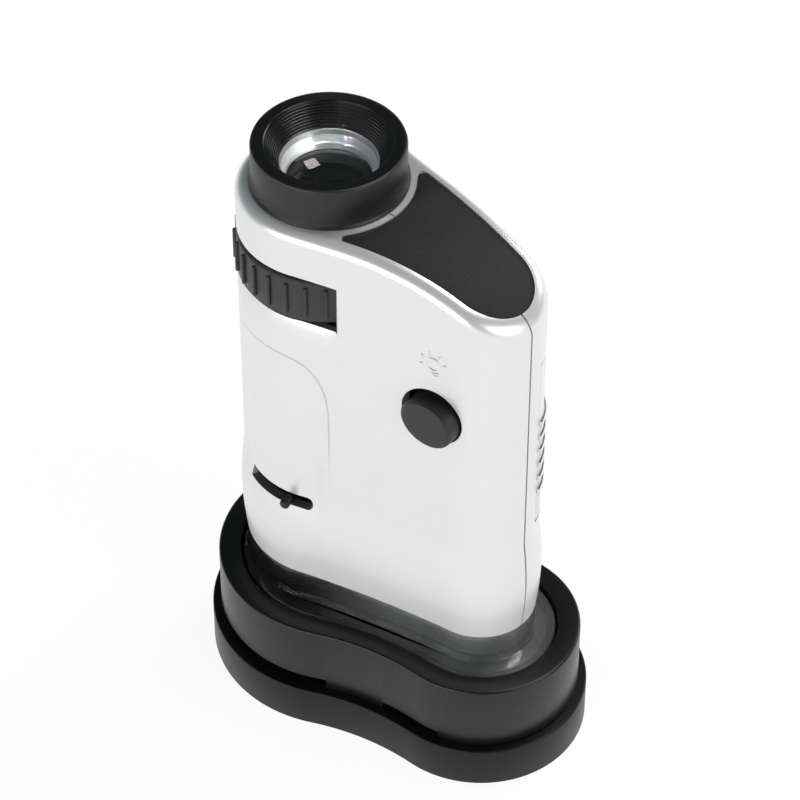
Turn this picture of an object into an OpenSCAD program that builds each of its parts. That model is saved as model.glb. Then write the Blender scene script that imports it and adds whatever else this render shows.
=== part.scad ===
// Pocket microscope: a two-lobed hand-held body that stands in a removable slide base.
// Lengths are millimetres. The base rests on Z = 0, +X runs from the optical axis to the small
// lobe, and -Y is the broad face with the lamp button.

/* [Body] */
// Radius of the large lobe, centred on the optical axis
body_big_r = 14.5; // [14.2:0.1:15.2]
// Radius of the small lobe
body_small_r = 9.1; // [8.8:0.1:9.8]
// Distance between the centres of the lobes
body_gap = 30.4; // [29.5:0.1:32]
// Radius of the hollow sides between the lobes
body_waist_r = 195; // [150:5:260]
// Wall of the two painted shells
shell_wall = 1.8; // [1.6:0.1:2]
// Distance of the parting plane in front of the optical axis
seam_front = 0.9; // [0.5:0.1:1.3]
// Height of the flat top above the table
top_z = 98.75; // [98.5:0.25:101]
// Distance from the optical axis at which the top starts to fall
top_flat_x = 12.9; // [12:0.1:15]
// Radius of the falling top
top_arc_r = 50; // [45:1:70]
// Rounding of the top edge
top_edge_r = 2.05; // [1.2:0.05:2.4]
// Height of the lower edge of the shells
shell_foot_z = 25.85; // [25:0.05:27]
// How far the shells swell out above their lower edge
swell = 0.7; // [0.2:0.1:0.9]
// Height of the middle of the swell
swell_z = 35; // [34:0.5:36]
// Thickness of the label plate inlaid in the top
label_t = 0.5; // [0.3:0.05:0.8]
// Distance of the label plate from the outline of the body
label_inset = 2.1; // [2.1:0.1:3.5]
// Width of the painted ring around the eyecup, up to the label plate
label_ring_w = 1.4; // [1:0.1:2]

/* [Eyepiece] */
// How far the outside of the eyecup lies inside the large lobe
eyecup_step = 2.5; // [2.2:0.1:2.7]
// Height of the eyecup above the flat top
eyecup_h = 7.25; // [6.5:0.25:9]
// Wall of the eyecup at its rim
eyecup_wall = 2.2; // [1.5:0.1:2.8]
// How far the throat of the funnel lies inside the optical tube
throat_step = 2.3; // [2.1:0.1:2.5]
// Depth of the funnel
funnel_h = 4.55; // [4:0.05:5]
// Number of anti-glare steps in the funnel
funnel_steps = 9; // [6:1:10]
// How far the edge of the eye lens lies inside the bore of the tube
eye_lens_step = 2.1; // [2:0.1:2.6]
// Wall of the fixed optical tube
tube_wall = 1; // [0.8:0.1:1.2]

/* [Zoom] */
// Height of the middle of the zoom ring
zoom_z = 85.9; // [85.5:0.1:86.3]
// Height of the window for the zoom ring
zoom_window_h = 9.4; // [9:0.1:9.8]
// Angle from the small lobe at which the window ends
zoom_window_angle = 47.5; // [46:0.5:50]
// Room above and below the zoom ring in its window
zoom_room = 0.75; // [0.5:0.05:1]
// How far the zoom ring stands out of the large lobe between its ribs
zoom_ring_out = 0.05; // [-0.3:0.05:0.3]
// Height of the finger ribs above the zoom ring
zoom_rib_h = 0.55; // [0.3:0.05:0.7]
// Number of finger ribs
zoom_ribs = 29; // [20:1:36]
// Angle of one of the finger ribs at rest
zoom_rib_angle = -78.3; // [-84:0.1:-72]
// Lift of the zoom lens for one turn of the ring
zoom_lead = 30; // [26:1:34]
// Turn of the zoom ring to either side of rest, in degrees
zoom_turn = 36; // [20:1:36]
// Wall of the cam sleeve that turns with the zoom ring
sleeve_wall = 1.75; // [1.5:0.05:1.9]
// Room between the cam sleeve and the shells
sleeve_room = 0.9; // [0.7:0.1:1.2]
// How far the edge of the zoom lens lies inside the bore of the tube
zoom_lens_step = 1.6; // [1.5:0.1:2.2]

/* [Focus] */
// Height of the focus slit
focus_z = 41.9; // [41.5:0.1:42.9]
// Height of the opening of the focus slit
slit_h = 2.2; // [1.9:0.05:2.4]
// Angle of the left end of the slit
slit_from = -118; // [-122:1:-116]
// Angle of the right end of the slit
slit_to = -64; // [-66:1:-60]
// Angle of the lever peg at rest
lever_angle = -81; // [-84:1:-79]
// Radius of the lever peg
lever_r = 0.85; // [0.6:0.05:0.9]
// How far the lever peg stands out of the body
lever_out = 1.7; // [1:0.1:2.5]
// Lift of the objective for one turn of the focus ring
focus_lead = 25; // [20:1:27]
// Room between the focus ring and the shells
focus_room = 1.1; // [0.8:0.1:1.3]
// How far the objective guide lies inside the optical tube
guide_step = 1.4; // [1.2:0.1:1.6]
// Wall of the objective guide
guide_wall = 1; // [0.8:0.1:1.1]
// How far the edge of the objective lens lies inside the bore of its guide
objective_step = 3.1; // [3:0.1:3.8]
// Height of the lower end of the objective above the table
objective_z = 23; // [22.5:0.5:24]

/* [Lamp] */
// Distance of the lamp button from the optical axis
button_x = 27.4; // [27:0.1:28]
// Height of the lamp button
button_z = 71.9; // [71.5:0.1:72.5]
// Half the width of the lamp button
button_r = 4.8; // [4.4:0.1:5]
// Height of the lamp button's oval cap
button_tall = 8.3; // [7.8:0.1:8.8]
// How far the lamp button stands out of the wall
button_out = 2; // [1.5:0.1:2.5]
// Travel of the lamp button
button_travel = 1.2; // [0.8:0.1:1.3]
// Radius of the lamp
led_r = 2.5; // [2.3:0.1:2.6]
// Thickness of the circuit board
board_t = 1.2; // [1:0.1:1.6]

/* [Battery] */
// Radius of a button cell
cell_r = 5.8; // [5.6:0.1:5.9]
// Thickness of a button cell
cell_h = 3.05; // [2.8:0.05:3.1]
// Number of button cells
cells = 3; // [2:1:3]
// Height of the lowest cell
cell_z = 51.5; // [51:0.1:52]
// Height of the lower edge of the battery door
door_z = 47; // [46:0.5:48]
// Height of the battery door
door_h = 34; // [32:0.5:35]
// Distance of the door's near edge from the optical axis
door_x = 23; // [22.5:0.1:24]
// Number of grip ribs on the battery door
door_ribs = 6; // [4:1:7]
// Distance between grip ribs
door_rib_pitch = 2.92; // [2.4:0.02:3.2]

/* [Base] */
// Distance of the base's large lobe from the optical axis
base_x = 2.6; // [2.4:0.1:3]
// Radius of the plate's large lobe
plate_big_r = 22.8; // [22.6:0.1:24]
// Radius of the plate's small lobe
plate_small_r = 17.65; // [17.4:0.05:19]
// Distance between the centres of the base's lobes
base_gap = 28.2; // [28:0.1:29]
// Radius of the plate's hollow sides
plate_waist_r = 42.5; // [40:0.5:60]
// Thickness of the base plate
plate_h = 7.8; // [7:0.1:9]
// Ledge of the plate around the collar
ledge = 1.42; // [1:0.01:1.6]
// Height of the collar above the plate
collar_h = 12.8; // [12.4:0.1:13]
// Width of the collar's rim
rim_w = 3.7; // [3.2:0.1:3.8]
// Width of the slot for a glass slide
slide_w = 26.4; // [25:0.1:27]
// Height of the slot for a glass slide
slide_h = 2.1; // [1.6:0.1:2.2]
// Radius of the viewing hole over the slide
view_r = 10; // [8:0.5:11]

/* [Hidden] */
$fn = 96;

// Steps along the round stretches of an outline
big_steps = 34;
waist_steps = 8;
small_steps = 18;
edge_steps = 4;
lens_steps = 8;

// Clearances: running fits, seated pieces, parts that pass each other, and pieces that lap
run = 0.05;
seat = 0.03;
clear = 0.3;
lap = 0.2;
// How far a cut runs past the face that it opens, and a length past every piece
past = 1;
far = 200;

black = [0.1, 0.1, 0.1];
silver = [0.86, 0.86, 0.85];
glass = [0.75, 0.85, 0.9, 0.5];

// Centre of the arc that hollows the sides between two lobes of radius r1 and r2
function waist_x(r1, r2, gap, rw) = ((r1 + rw) ^ 2 - (r2 + rw) ^ 2 + gap ^ 2) / (2 * gap);
function waist_y(r1, r2, gap, rw) = sqrt((r1 + rw) ^ 2 - waist_x(r1, r2, gap, rw) ^ 2);

// Front half of a two-lobed outline that is grown by o, from its left end to its right end
function half_outline(r1, r2, gap, rw, o) =
  let (
    wx = waist_x(r1, r2, gap, rw),
    wy = waist_y(r1, r2, gap, rw),
    a1 = atan2(wy, wx),
    a2 = atan2(wy, wx - gap),
    b1 = atan2(wy, -wx),
    b2 = atan2(wy, gap - wx)
  )
  concat(
    [for (i = [0 : big_steps]) let (a = -180 + i * (180 - a1) / big_steps) (r1 + o) * [cos(a), sin(a)]],
    [for (i = [1 : waist_steps]) let (b = b1 + (b2 - b1) * i / waist_steps)
      [wx, -wy] + (rw - o) * [cos(b), sin(b)]],
    [for (i = [1 : small_steps]) let (a = -a2 + a2 * i / small_steps) [gap, 0] + (r2 + o) * [cos(a), sin(a)]]
  );

// Closed outline from its front half
function closed(half) = concat(half, [for (i = [len(half) - 2 : -1 : 1]) [half[i].x, -half[i].y]]);

function body_half(o) = half_outline(body_big_r, body_small_r, body_gap, body_waist_r, o);
function body_outline(o) = closed(body_half(o));
function base_outline(o) =
  [for (p = closed(half_outline(plate_big_r, plate_small_r, base_gap, plate_waist_r, o))) p + [base_x, 0]];

// Half the width of the body, grown by o, at a distance x from the optical axis
function half_width(x, o) =
  let (
    wx = waist_x(body_big_r, body_small_r, body_gap, body_waist_r),
    wy = waist_y(body_big_r, body_small_r, body_gap, body_waist_r),
    x1 = (body_big_r + o) * wx / (body_big_r + body_waist_r),
    x2 = body_gap + (body_small_r + o) * (wx - body_gap) / (body_small_r + body_waist_r)
  )
  x < x1 ? sqrt((body_big_r + o) ^ 2 - x ^ 2) :
  x > x2 ? sqrt((body_small_r + o) ^ 2 - (x - body_gap) ^ 2) :
  wy - sqrt((body_waist_r - o) ^ 2 - (x - wx) ^ 2);

// Height of the top surface at a distance x from the optical axis
function top_height(x) =
  x < top_flat_x ? top_z : top_z - top_arc_r + sqrt(top_arc_r ^ 2 - (x - top_flat_x) ^ 2);

// One ring of points around the body, level or at a depth below the top surface
function level_ring(o, z) = [for (p = body_outline(o)) [p.x, p.y, z]];
function top_ring(o, depth) = [for (p = body_outline(o)) [p.x, p.y, top_height(p.x) - depth]];

// Places that follow from the driving sizes
axis_x = -(base_x - plate_big_r + base_x + base_gap + plate_small_r) / 2;
seam_y = -seam_front;
zoom_low = zoom_z - zoom_window_h / 2;
zoom_high = zoom_z + zoom_window_h / 2;
zoom_ring_low = zoom_low + zoom_room;
zoom_ring_high = zoom_high - zoom_room;
rim_z = plate_h + collar_h;
floor_t = 1.1;
seat_z = plate_h + slide_h + floor_t;

// Radii that follow from the large lobe, from the shells inwards
zoom_ring_r = body_big_r + zoom_ring_out;
zoom_sweep_r = zoom_ring_r + zoom_rib_h + clear;
sleeve_r = body_big_r - shell_wall - sleeve_room;
focus_ring_r = body_big_r - shell_wall - focus_room;
tube_r = sleeve_r - sleeve_wall - run;
tube_bore = tube_r - tube_wall;
guide_r = tube_r - guide_step;
guide_bore = guide_r - guide_wall;
eyecup_r = body_big_r - eyecup_step;
funnel_r = eyecup_r - eyecup_wall;
throat_r = tube_r - throat_step;
label_ring_r = eyecup_r + label_ring_w;
eye_lens_r = tube_bore - eye_lens_step;
zoom_lens_r = tube_bore - zoom_lens_step;
objective_r = guide_bore - objective_step;

// Eyepiece fittings
eyecup_z = top_z + eyecup_h;
cup_flange_w = 0.45;
cup_flange_h = 0.5;
cup_edge = 0.4;
tube_down = 2.8;
tube_top = top_z - tube_down;
tube_foot = 57.5;
neck_wall = 1.35;
neck_h = 5.3;
neck_r = tube_r + seat + neck_wall;
neck_room = 0.15;
shoulder_z = top_z + neck_room;
eye_ring_r = tube_bore - lap / 2;
eye_ring_down = 0.5;
eye_ring_lip = 0.35;
eye_ring_edge = 0.45;
eye_lip_down = 0.55;
eye_lip_z = top_z - eye_lip_down;
eye_lip_h = 0.8;
lens_edge = 1.2;
eye_lens_sag = 0.9;
eye_lens_z = eye_lip_z - clear / 2 - lens_edge / 2;
stop_down = 9;
stop_t = 1.2;
stop_w = 3.5;
label_down = 0.05;

// Zoom fittings
drum_wall = 1.7;
drum_web = 2;
zoom_rib_w = 0.75;
zoom_rib_margin = 1;
zoom_rib_root = 0.4;
sleeve_foot = 62;
web_t = 1.6;
upper_web_z = 60;
lower_web_z = 52;
web_reach = body_big_r - shell_wall + lap / 2;
zoom_pin_z = 72;
zoom_pin_r = 0.9;
zoom_travel = zoom_lead * zoom_turn / 360;
zoom_cell_h = 8;
zoom_cell_lip = 0.8;
zoom_seat_z = zoom_pin_z + zoom_pin_r + clear;
zoom_lens_sag = 0.8;
pin_short = 0.2;
pin_root = 0.6;

// Focus fittings
guide_foot = 38.5;
guide_flange_h = 1.5;
focus_ring_h = 9;
focus_pin_r = 0.8;
focus_pin_up = 0.6;
focus_pin_z = focus_z + focus_pin_up;
focus_down = 32;
focus_up = 12;
focus_drop = focus_lead * focus_down / 360;
focus_rise = focus_lead * focus_up / 360;
lever_root = 2;
barrel_r = guide_bore - run;
barrel_wall = 1.6;
barrel_top = 50;
nose_wall = 1.1;
nose_r = objective_r + nose_wall;
nose_h = 11;
objective_edge = 1.6;
objective_sag = 0.7;
retainer_t = 1;
retainer_h = 2.2;
retainer_lip = 0.8;
barrel_lip = 0.6;
objective_lens_z = objective_z + retainer_h + run + lens_bulge(objective_r, retainer_lip, objective_sag);
objective_lens_top = objective_lens_z + objective_edge + lens_bulge(objective_r, barrel_lip, objective_sag);
barrel_floor = 1.5;

// Lamp fittings
board_y = 1;
board_z = 64;
board_h = 20;
board_left = 8.6;
board_right = 4.6;
board_x0 = body_gap - board_left;
board_x1 = body_gap + board_right;
post_r = 1.3;
post_inset = 1.6;
switch_w = 7;
switch_front = -4.1;
switch_floor = 0.6;
flange_w = 1.1;
flange_t = 0.9;
flange_r = button_r + flange_w;
flange_front = -half_width(button_x + flange_r, -shell_wall) + clear;
button_room = 0.45;
button_hole_r = button_r + button_room;
button_edge = 0.6;
plunger_r = 1.5;
plunger_end = board_y - switch_floor - lap - button_travel - clear;
shelf_z = 33;
shelf_lap = 2;
lamp_x = body_big_r;
lamp_z = 31;
slide_t = 1;
lamp_tilt = atan2(lamp_x, lamp_z - plate_h - slide_t);
lamp_len = 7.5;
lamp_wall = 0.9;
lamp_rim_w = 0.4;
lamp_rim_h = 1;
lamp_plate_w = 9;
lamp_plate_t = 1.5;
lamp_plate_left = 3;
lead_r = 0.45;
lead_spread = 0.6;
lead_rise = 2;
lead_room = 1.2;
lead_bow = 0.7;
lead_join = 3.6;

// Battery fittings
holder_room = 0.25;
holder_r = cell_r + holder_room;
holder_wall = 0.95;
holder_t = 1.2;
contact_t = 0.4;
contact_inset = 1.5;
contact_r = holder_r - contact_inset;
contact_rise = 1.8;
contact_foot_r = 2.2;
contact_tip_r = 1.4;
cell_lip = 0.3;
cells_top = cell_z + cells * cell_h;
holder_z = cell_z - contact_rise - holder_t;
holder_top = cells_top + contact_t + lap / 2;
door_gap = 0.2;
door_side_y = 2;
door_t = 1.5;
door_rib_h = 0.45;
door_rib_w = 1.1;
door_rib_z = 61.1;

// Screws: distances from the large lobe and heights on the parting plane, and sizes
shell_screw_out = [5.1, 4.4, 6];
shell_screw_z = [86, 57, 40];
shell_screw_at = [for (i = [0 : 2]) [body_big_r + shell_screw_out[i], shell_screw_z[i]]];
screw_r = 1;
screw_head_r = 2;
screw_head_h = 1.6;
cross_l = 2.4;
cross_w = 0.6;
cross_depth = 0.7;
pilot_gap = 0.05;
boss_r = 2.9;
screw_seat_y = 5;
screw_reach = 6;
base_screw_r = plate_small_r - ledge - rim_w / 2;
base_screw_turn = 60;
base_screw_at = [
  [base_x - plate_big_r + ledge + rim_w / 2, 0],
  [base_x + base_gap + cos(base_screw_turn) * base_screw_r, sin(base_screw_turn) * base_screw_r],
  [base_x + base_gap + cos(base_screw_turn) * base_screw_r, -sin(base_screw_turn) * base_screw_r]];
base_wall = 2;
base_head_z = 1.2;
base_screw_down = 4;
base_screw_top = rim_z - base_screw_down;
notch_left = 7.6;
notch_right = 3.4;
notch_h = 1.6;
notch_depth = 2;

// Clear skirt
spigot_wall = 1.2;
spigot_h = 4;
foot_wall = 1.6;
foot_gap = 0.4;
foot_o = -ledge - rim_w - foot_gap;
skirt_ledge_down = 2;
skirt_ledge_z = rim_z - skirt_ledge_down;
skirt_ledge_t = 1.3;

// Plain prism of the body's outline, grown by o
module body_prism(o, z0, z1) {
  translate([0, 0, z0])
    linear_extrude(z1 - z0)
      polygon(body_outline(o));
}

// Plain prism of the base plate's outline, grown by o
module base_prism(o, z0, z1) {
  translate([0, 0, z0])
    linear_extrude(z1 - z0)
      polygon(base_outline(o));
}

// Solid through rings of points, each ring starting at its left end and running round the front
module ringed_solid(rings) {
  n = len(rings[0]);
  last = (len(rings) - 1) * n;
  right = n / 2;
  points = [for (ring = rings, p = ring) p];
  bottom = [[for (i = [0 : n - 1]) i]];
  sides = [
    for (k = [0 : len(rings) - 2], i = [0 : n - 1], half = [0, 1])
      let (j = (i + 1) % n, low = k * n, high = low + n)
        half == 0 ? [low + i, high + i, high + j] : [low + i, high + j, low + j]];
  left_cap = [[last, last + n - 1, last + 1]];
  strips = [
    for (i = [2 : right - 1], half = [0, 1])
      let (a = i - 1, b = i, c = n - i + 1, d = n - i)
        half == 0 ? [last + a, last + c, last + d] : [last + a, last + d, last + b]];
  right_cap = [[last + right - 1, last + right + 1, last + right]];
  polyhedron(points, concat(bottom, sides, left_cap, strips, right_cap));
}

// Outside of the two shells together
module body_outside() {
  swell_rings = [for (i = [0 : edge_steps * 2])
    let (t = i / (edge_steps * 2), reach = swell_z - shell_foot_z)
      level_ring(swell * sin(180 * t), shell_foot_z + 2 * reach * t)];
  edge_rings = [for (i = [0 : edge_steps])
    let (a = 90 * i / edge_steps)
      top_ring(-top_edge_r * (1 - cos(a)), top_edge_r * (1 - sin(a)))];
  ringed_solid(concat(swell_rings, edge_rings));
}

// Hollow of the two shells together
module body_inside() {
  ringed_solid([level_ring(-shell_wall, shell_foot_z - past), top_ring(-shell_wall, shell_wall)]);
}

// Slab that follows the top surface between two depths
module top_slab(upper, lower) {
  reach = body_gap + body_small_r + past;
  xs = [for (i = [0 : big_steps]) -body_big_r + i * (reach + body_big_r) / big_steps];
  edge = concat(
    [for (x = xs) [x, top_height(x) - upper]],
    [for (i = [len(xs) - 1 : -1 : 0]) [xs[i], top_height(xs[i]) - lower]]);
  translate([0, far / 2, 0])
    rotate([90, 0, 0])
      linear_extrude(far)
        polygon(edge);
}

// Flat shape of the label plate, grown by o
module label_shape(o) {
  difference() {
    polygon(body_outline(o - label_inset));
    circle(label_ring_r - o);
  }
}

// Half spaces in front of the parting plane and behind it
module front_half() {
  translate([-far / 2, seam_y - far, 0]) cube([far, far, far]);
}

module rear_half() {
  translate([-far / 2, seam_y, 0]) cube([far, far, far]);
}

// Level web across the large lobe, with a round seat for a tube
module tube_web(z, r) {
  difference() {
    intersection() {
      body_prism(lap - shell_wall, z, z + web_t);
      translate([-far / 2, -far / 2, z]) cube([far / 2 + web_reach, far, web_t]);
    }
    translate([0, 0, z - past]) cylinder(r = r, h = web_t + 2 * past);
  }
}

// Shelf across the small lobe, with a way through for the lamp and its leads
module lamp_shelf() {
  difference() {
    intersection() {
      body_prism(lap - shell_wall, shelf_z, shelf_z + web_t);
      translate([web_reach - shelf_lap, -far / 2, shelf_z]) cube([far, far, web_t]);
    }
    lamp_place() cylinder(r = led_r + lamp_wall + clear, h = far, center = true);
    translate([0, 0, shelf_z - past]) cylinder(r = guide_r + 2 * clear, h = web_t + 2 * past);
  }
}

// Puts a shape that points up its own Z on the lamp, which leans towards the slide
module lamp_place() {
  translate([lamp_x, 0, lamp_z]) rotate([0, lamp_tilt, 0]) children();
}

// Hole along Y at a distance and a height, from y0 to y1
module cross_rod(at, r, y0, y1) {
  translate([at[0], y0, at[1]]) rotate([-90, 0, 0]) cylinder(r = r, h = y1 - y0);
}

// Openings that cross both shells
module shell_openings() {
  translate([0, 0, zoom_low]) cylinder(r = zoom_sweep_r, h = zoom_window_h);
  rotate(zoom_window_angle)
    rotate_extrude(angle = 360 - 2 * zoom_window_angle)
      translate([zoom_sweep_r - past, zoom_low]) square([body_big_r, zoom_window_h]);
  translate([0, 0, top_z - 2 * neck_h]) cylinder(r = neck_r + neck_room, h = far);
  intersection() {
    translate([0, 0, top_z - far / 2]) linear_extrude(far) label_shape(seat);
    top_slab(-top_edge_r, label_t + seat);
  }
}

// Body of both shells before they are cut apart
module shell_blank() {
  difference() {
    body_outside();
    body_inside();
  }
  tube_web(upper_web_z, tube_r + seat);
  tube_web(lower_web_z, guide_r + seat);
  lamp_shelf();
}

module front_shell() {
  post_top = board_z + board_h - post_inset;
  board_posts = [[board_x0 + post_inset, board_z + post_inset], [board_x0 + post_inset, post_top],
    [board_x1 - post_inset, post_top]];
  color(silver)
    difference() {
      union() {
        intersection() {
          shell_blank();
          front_half();
        }
        for (at = shell_screw_at) cross_rod(at, boss_r, -half_width(at[0], -shell_wall / 2), seam_y);
        for (at = board_posts) cross_rod(at, post_r, -half_width(at[0], -shell_wall / 2), board_y);
      }
      shell_openings();
      for (at = shell_screw_at) cross_rod(at, screw_r + pilot_gap, -screw_reach - clear, 0);
      cross_rod([button_x, button_z], button_hole_r, -far, flange_front);
      rotate(slit_from)
        rotate_extrude(angle = slit_to - slit_from)
          translate([focus_ring_r, focus_z - slit_h / 2]) square([body_big_r, slit_h]);
    }
}

module rear_shell() {
  color(silver)
    difference() {
      union() {
        intersection() {
          shell_blank();
          rear_half();
        }
        for (at = shell_screw_at) cross_rod(at, boss_r, seam_y, half_width(at[0], -shell_wall / 2));
      }
      shell_openings();
      for (at = shell_screw_at) {
        cross_rod(at, screw_r + 3 * pilot_gap, seam_y - past, far);
        cross_rod(at, screw_head_r + lap, screw_seat_y, far);
      }
      door_space(0);
    }
}

// Space for the battery door in the rear shell, drawn in by a gap
module door_space(gap) {
  translate([door_x + gap, door_side_y + gap, door_z + gap])
    cube([far, far, door_h - 2 * gap]);
}

module shell_screws() {
  color("gainsboro")
    for (at = shell_screw_at) {
      difference() {
        cross_rod(at, screw_head_r, screw_seat_y, screw_seat_y + screw_head_h);
        for (turn = [0, 90])
          translate([at[0], screw_seat_y + screw_head_h, at[1]])
            rotate([0, turn, 0]) cube([cross_l, 2 * cross_depth, cross_w], center = true);
      }
      cross_rod(at, screw_r, -screw_reach, screw_seat_y);
    }
}

module label_plate() {
  color([0.16, 0.16, 0.16])
    intersection() {
      translate([0, 0, top_z - far / 2]) linear_extrude(far) label_shape(-seat);
      top_slab(label_down, label_t);
    }
}

module eyecup() {
  step_h = funnel_h / funnel_steps;
  step_w = (funnel_r - throat_r) / funnel_steps;
  funnel = [for (i = [0 : funnel_steps - 1], k = [0, 1])
    [funnel_r - i * step_w, eyecup_z - (i + k) * step_h]];
  color(black)
    rotate_extrude()
      polygon(concat(funnel, [
        [throat_r + seat, eyecup_z - funnel_h],
        [throat_r + seat, shoulder_z],
        [eye_ring_r + seat, shoulder_z],
        [eye_ring_r + seat, tube_top + seat],
        [tube_r + seat, tube_top + seat],
        [tube_r + seat, top_z - neck_h],
        [neck_r, top_z - neck_h],
        [neck_r, top_z],
        [eyecup_r + cup_flange_w, top_z],
        [eyecup_r + cup_flange_w, top_z + cup_flange_h],
        [eyecup_r, top_z + cup_flange_h + cup_edge],
        [eyecup_r, eyecup_z - cup_edge],
        [eyecup_r - cup_edge, eyecup_z]]));
}

module eye_lens_ring() {
  sleeve_top = eyecup_z - funnel_h - eye_ring_down;
  color([0.8, 0.82, 0.83])
    rotate_extrude()
      polygon([
        [eye_lens_r + run, tube_top + 2 * seat],
        [eye_ring_r, tube_top + 2 * seat],
        [eye_ring_r, shoulder_z - seat],
        [throat_r - run, shoulder_z - seat],
        [throat_r - run, sleeve_top],
        [throat_r - eye_ring_edge, sleeve_top],
        [eye_lens_r - eye_ring_lip, eye_lip_z + eye_lip_h],
        [eye_lens_r - eye_ring_lip, eye_lip_z],
        [eye_lens_r + run, eye_lip_z]]);
}

// How far the round face of a lens bulges past its edge, at a lip that reaches in from that edge
function lens_bulge(r, lip, sag) = sag * (1 - ((r - lip) / r) ^ 2);

// Lens with two round faces, centred at a height
module lens(r, edge, sag, z) {
  face = [for (i = [0 : lens_steps]) let (t = i / lens_steps) [r * t, edge / 2 + sag * (1 - t ^ 2)]];
  back = [for (i = [lens_steps : -1 : 0]) [face[i].x, -face[i].y]];
  color(glass)
    translate([0, 0, z])
      rotate_extrude()
        polygon(concat(face, back));
}

module eye_lens() {
  lens(eye_lens_r, lens_edge, eye_lens_sag, eye_lens_z);
}

module optical_tube() {
  slot_h = 2 * (zoom_travel + zoom_pin_r + clear);
  color("dimgray")
    difference() {
      translate([0, 0, tube_foot]) cylinder(r = tube_r, h = tube_top - tube_foot);
      translate([0, 0, tube_foot - past]) cylinder(r = tube_bore, h = far);
      translate([-tube_r - past, -zoom_pin_r - clear, zoom_pin_z - slot_h / 2])
        cube([tube_r, 2 * (zoom_pin_r + clear), slot_h]);
    }
}

module field_stop() {
  color(black)
    translate([0, 0, tube_top - stop_down])
      difference() {
        cylinder(r = tube_bore - seat, h = stop_t);
        translate([0, 0, -past]) cylinder(r = tube_bore - stop_w, h = stop_t + 2 * past);
      }
}

module zoom_ring() {
  web_low = zoom_z - drum_web / 2;
  web_high = zoom_z + drum_web / 2;
  rib_len = zoom_ring_high - zoom_ring_low - 2 * zoom_rib_margin;
  color(black) {
    rotate_extrude()
      polygon([
        [tube_r + run, zoom_ring_low], [sleeve_r, zoom_ring_low], [sleeve_r, web_low],
        [zoom_ring_r - drum_wall, web_low], [zoom_ring_r - drum_wall, zoom_ring_low],
        [zoom_ring_r, zoom_ring_low], [zoom_ring_r, zoom_ring_high],
        [zoom_ring_r - drum_wall, zoom_ring_high], [zoom_ring_r - drum_wall, web_high],
        [sleeve_r, web_high], [sleeve_r, zoom_ring_high], [tube_r + run, zoom_ring_high]]);
    for (i = [0 : zoom_ribs - 1])
      rotate(zoom_rib_angle + i * 360 / zoom_ribs)
        translate([zoom_ring_r - zoom_rib_root, -zoom_rib_w / 2, zoom_ring_low + zoom_rib_margin])
          cube([zoom_rib_root + zoom_rib_h, zoom_rib_w, rib_len]);
  }
}

// Slanting slot through a turning sleeve, in which a fixed-angle pin climbs as the sleeve turns
module cam_slot(r_in, r_out, pin_r, pin_z, lead, drop, rise) {
  per_degree = lead / 360;
  low = pin_z - drop - pin_r - clear;
  high = pin_z + rise + pin_r + clear;
  mid_r = (r_in + r_out) / 2;
  half = (pin_r + clear) * norm([180 / PI / mid_r, 1 / per_degree]);
  sector = concat(
    [for (i = [-2 : 2]) (r_out + past) * [cos(half * i / 2), sin(half * i / 2)]],
    [for (i = [2 : -1 : -2]) (r_in - past) * [cos(half * i / 2), sin(half * i / 2)]]);
  translate([0, 0, low])
    rotate(180 + (pin_z - low) / per_degree)
      linear_extrude(high - low, twist = (high - low) / per_degree, slices = 14)
        polygon(sector);
}

module zoom_cam_sleeve() {
  color("gray")
    difference() {
      translate([0, 0, sleeve_foot]) cylinder(r = sleeve_r, h = zoom_ring_low - sleeve_foot);
      translate([0, 0, sleeve_foot - past]) cylinder(r = tube_r + run, h = far);
      cam_slot(tube_r, sleeve_r, zoom_pin_r, zoom_pin_z, zoom_lead, zoom_travel, zoom_travel);
    }
}

// Radial rod towards -X at a height, from r0 to r1
module pin_rod(r, z, r0, r1) {
  translate([-r0, 0, z]) rotate([0, -90, 0]) cylinder(r = r, h = r1 - r0);
}

module zoom_lens_cell() {
  low = zoom_pin_z - zoom_cell_h / 2;
  color("dimgray")
    difference() {
      translate([0, 0, low]) cylinder(r = tube_bore - run, h = zoom_cell_h);
      translate([0, 0, low - past]) cylinder(r = zoom_lens_r - zoom_cell_lip, h = far);
      translate([0, 0, zoom_seat_z]) cylinder(r = zoom_lens_r + run, h = far);
      pin_rod(zoom_pin_r + seat, zoom_pin_z, zoom_lens_r - zoom_cell_lip - past, far);
    }
}

module zoom_lens() {
  bulge = lens_bulge(zoom_lens_r, zoom_cell_lip, zoom_lens_sag);
  lens(zoom_lens_r, lens_edge, zoom_lens_sag, zoom_seat_z + run + bulge + lens_edge / 2);
}

module zoom_pin() {
  color("silver") pin_rod(zoom_pin_r, zoom_pin_z, zoom_lens_r - pin_root, sleeve_r - pin_short);
}

module objective_guide() {
  slot_low = focus_pin_z - focus_drop - focus_pin_r - clear;
  slot_high = focus_pin_z + focus_rise + focus_pin_r + clear;
  color("dimgray")
    difference() {
      union() {
        translate([0, 0, guide_foot]) cylinder(r = guide_r, h = tube_foot - guide_foot);
        translate([0, 0, tube_foot - guide_flange_h]) cylinder(r = tube_r, h = guide_flange_h);
      }
      translate([0, 0, guide_foot - past]) cylinder(r = guide_bore, h = far);
      translate([-guide_r - past, -focus_pin_r - clear, slot_low])
        cube([guide_r, 2 * (focus_pin_r + clear), slot_high - slot_low]);
    }
}

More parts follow.
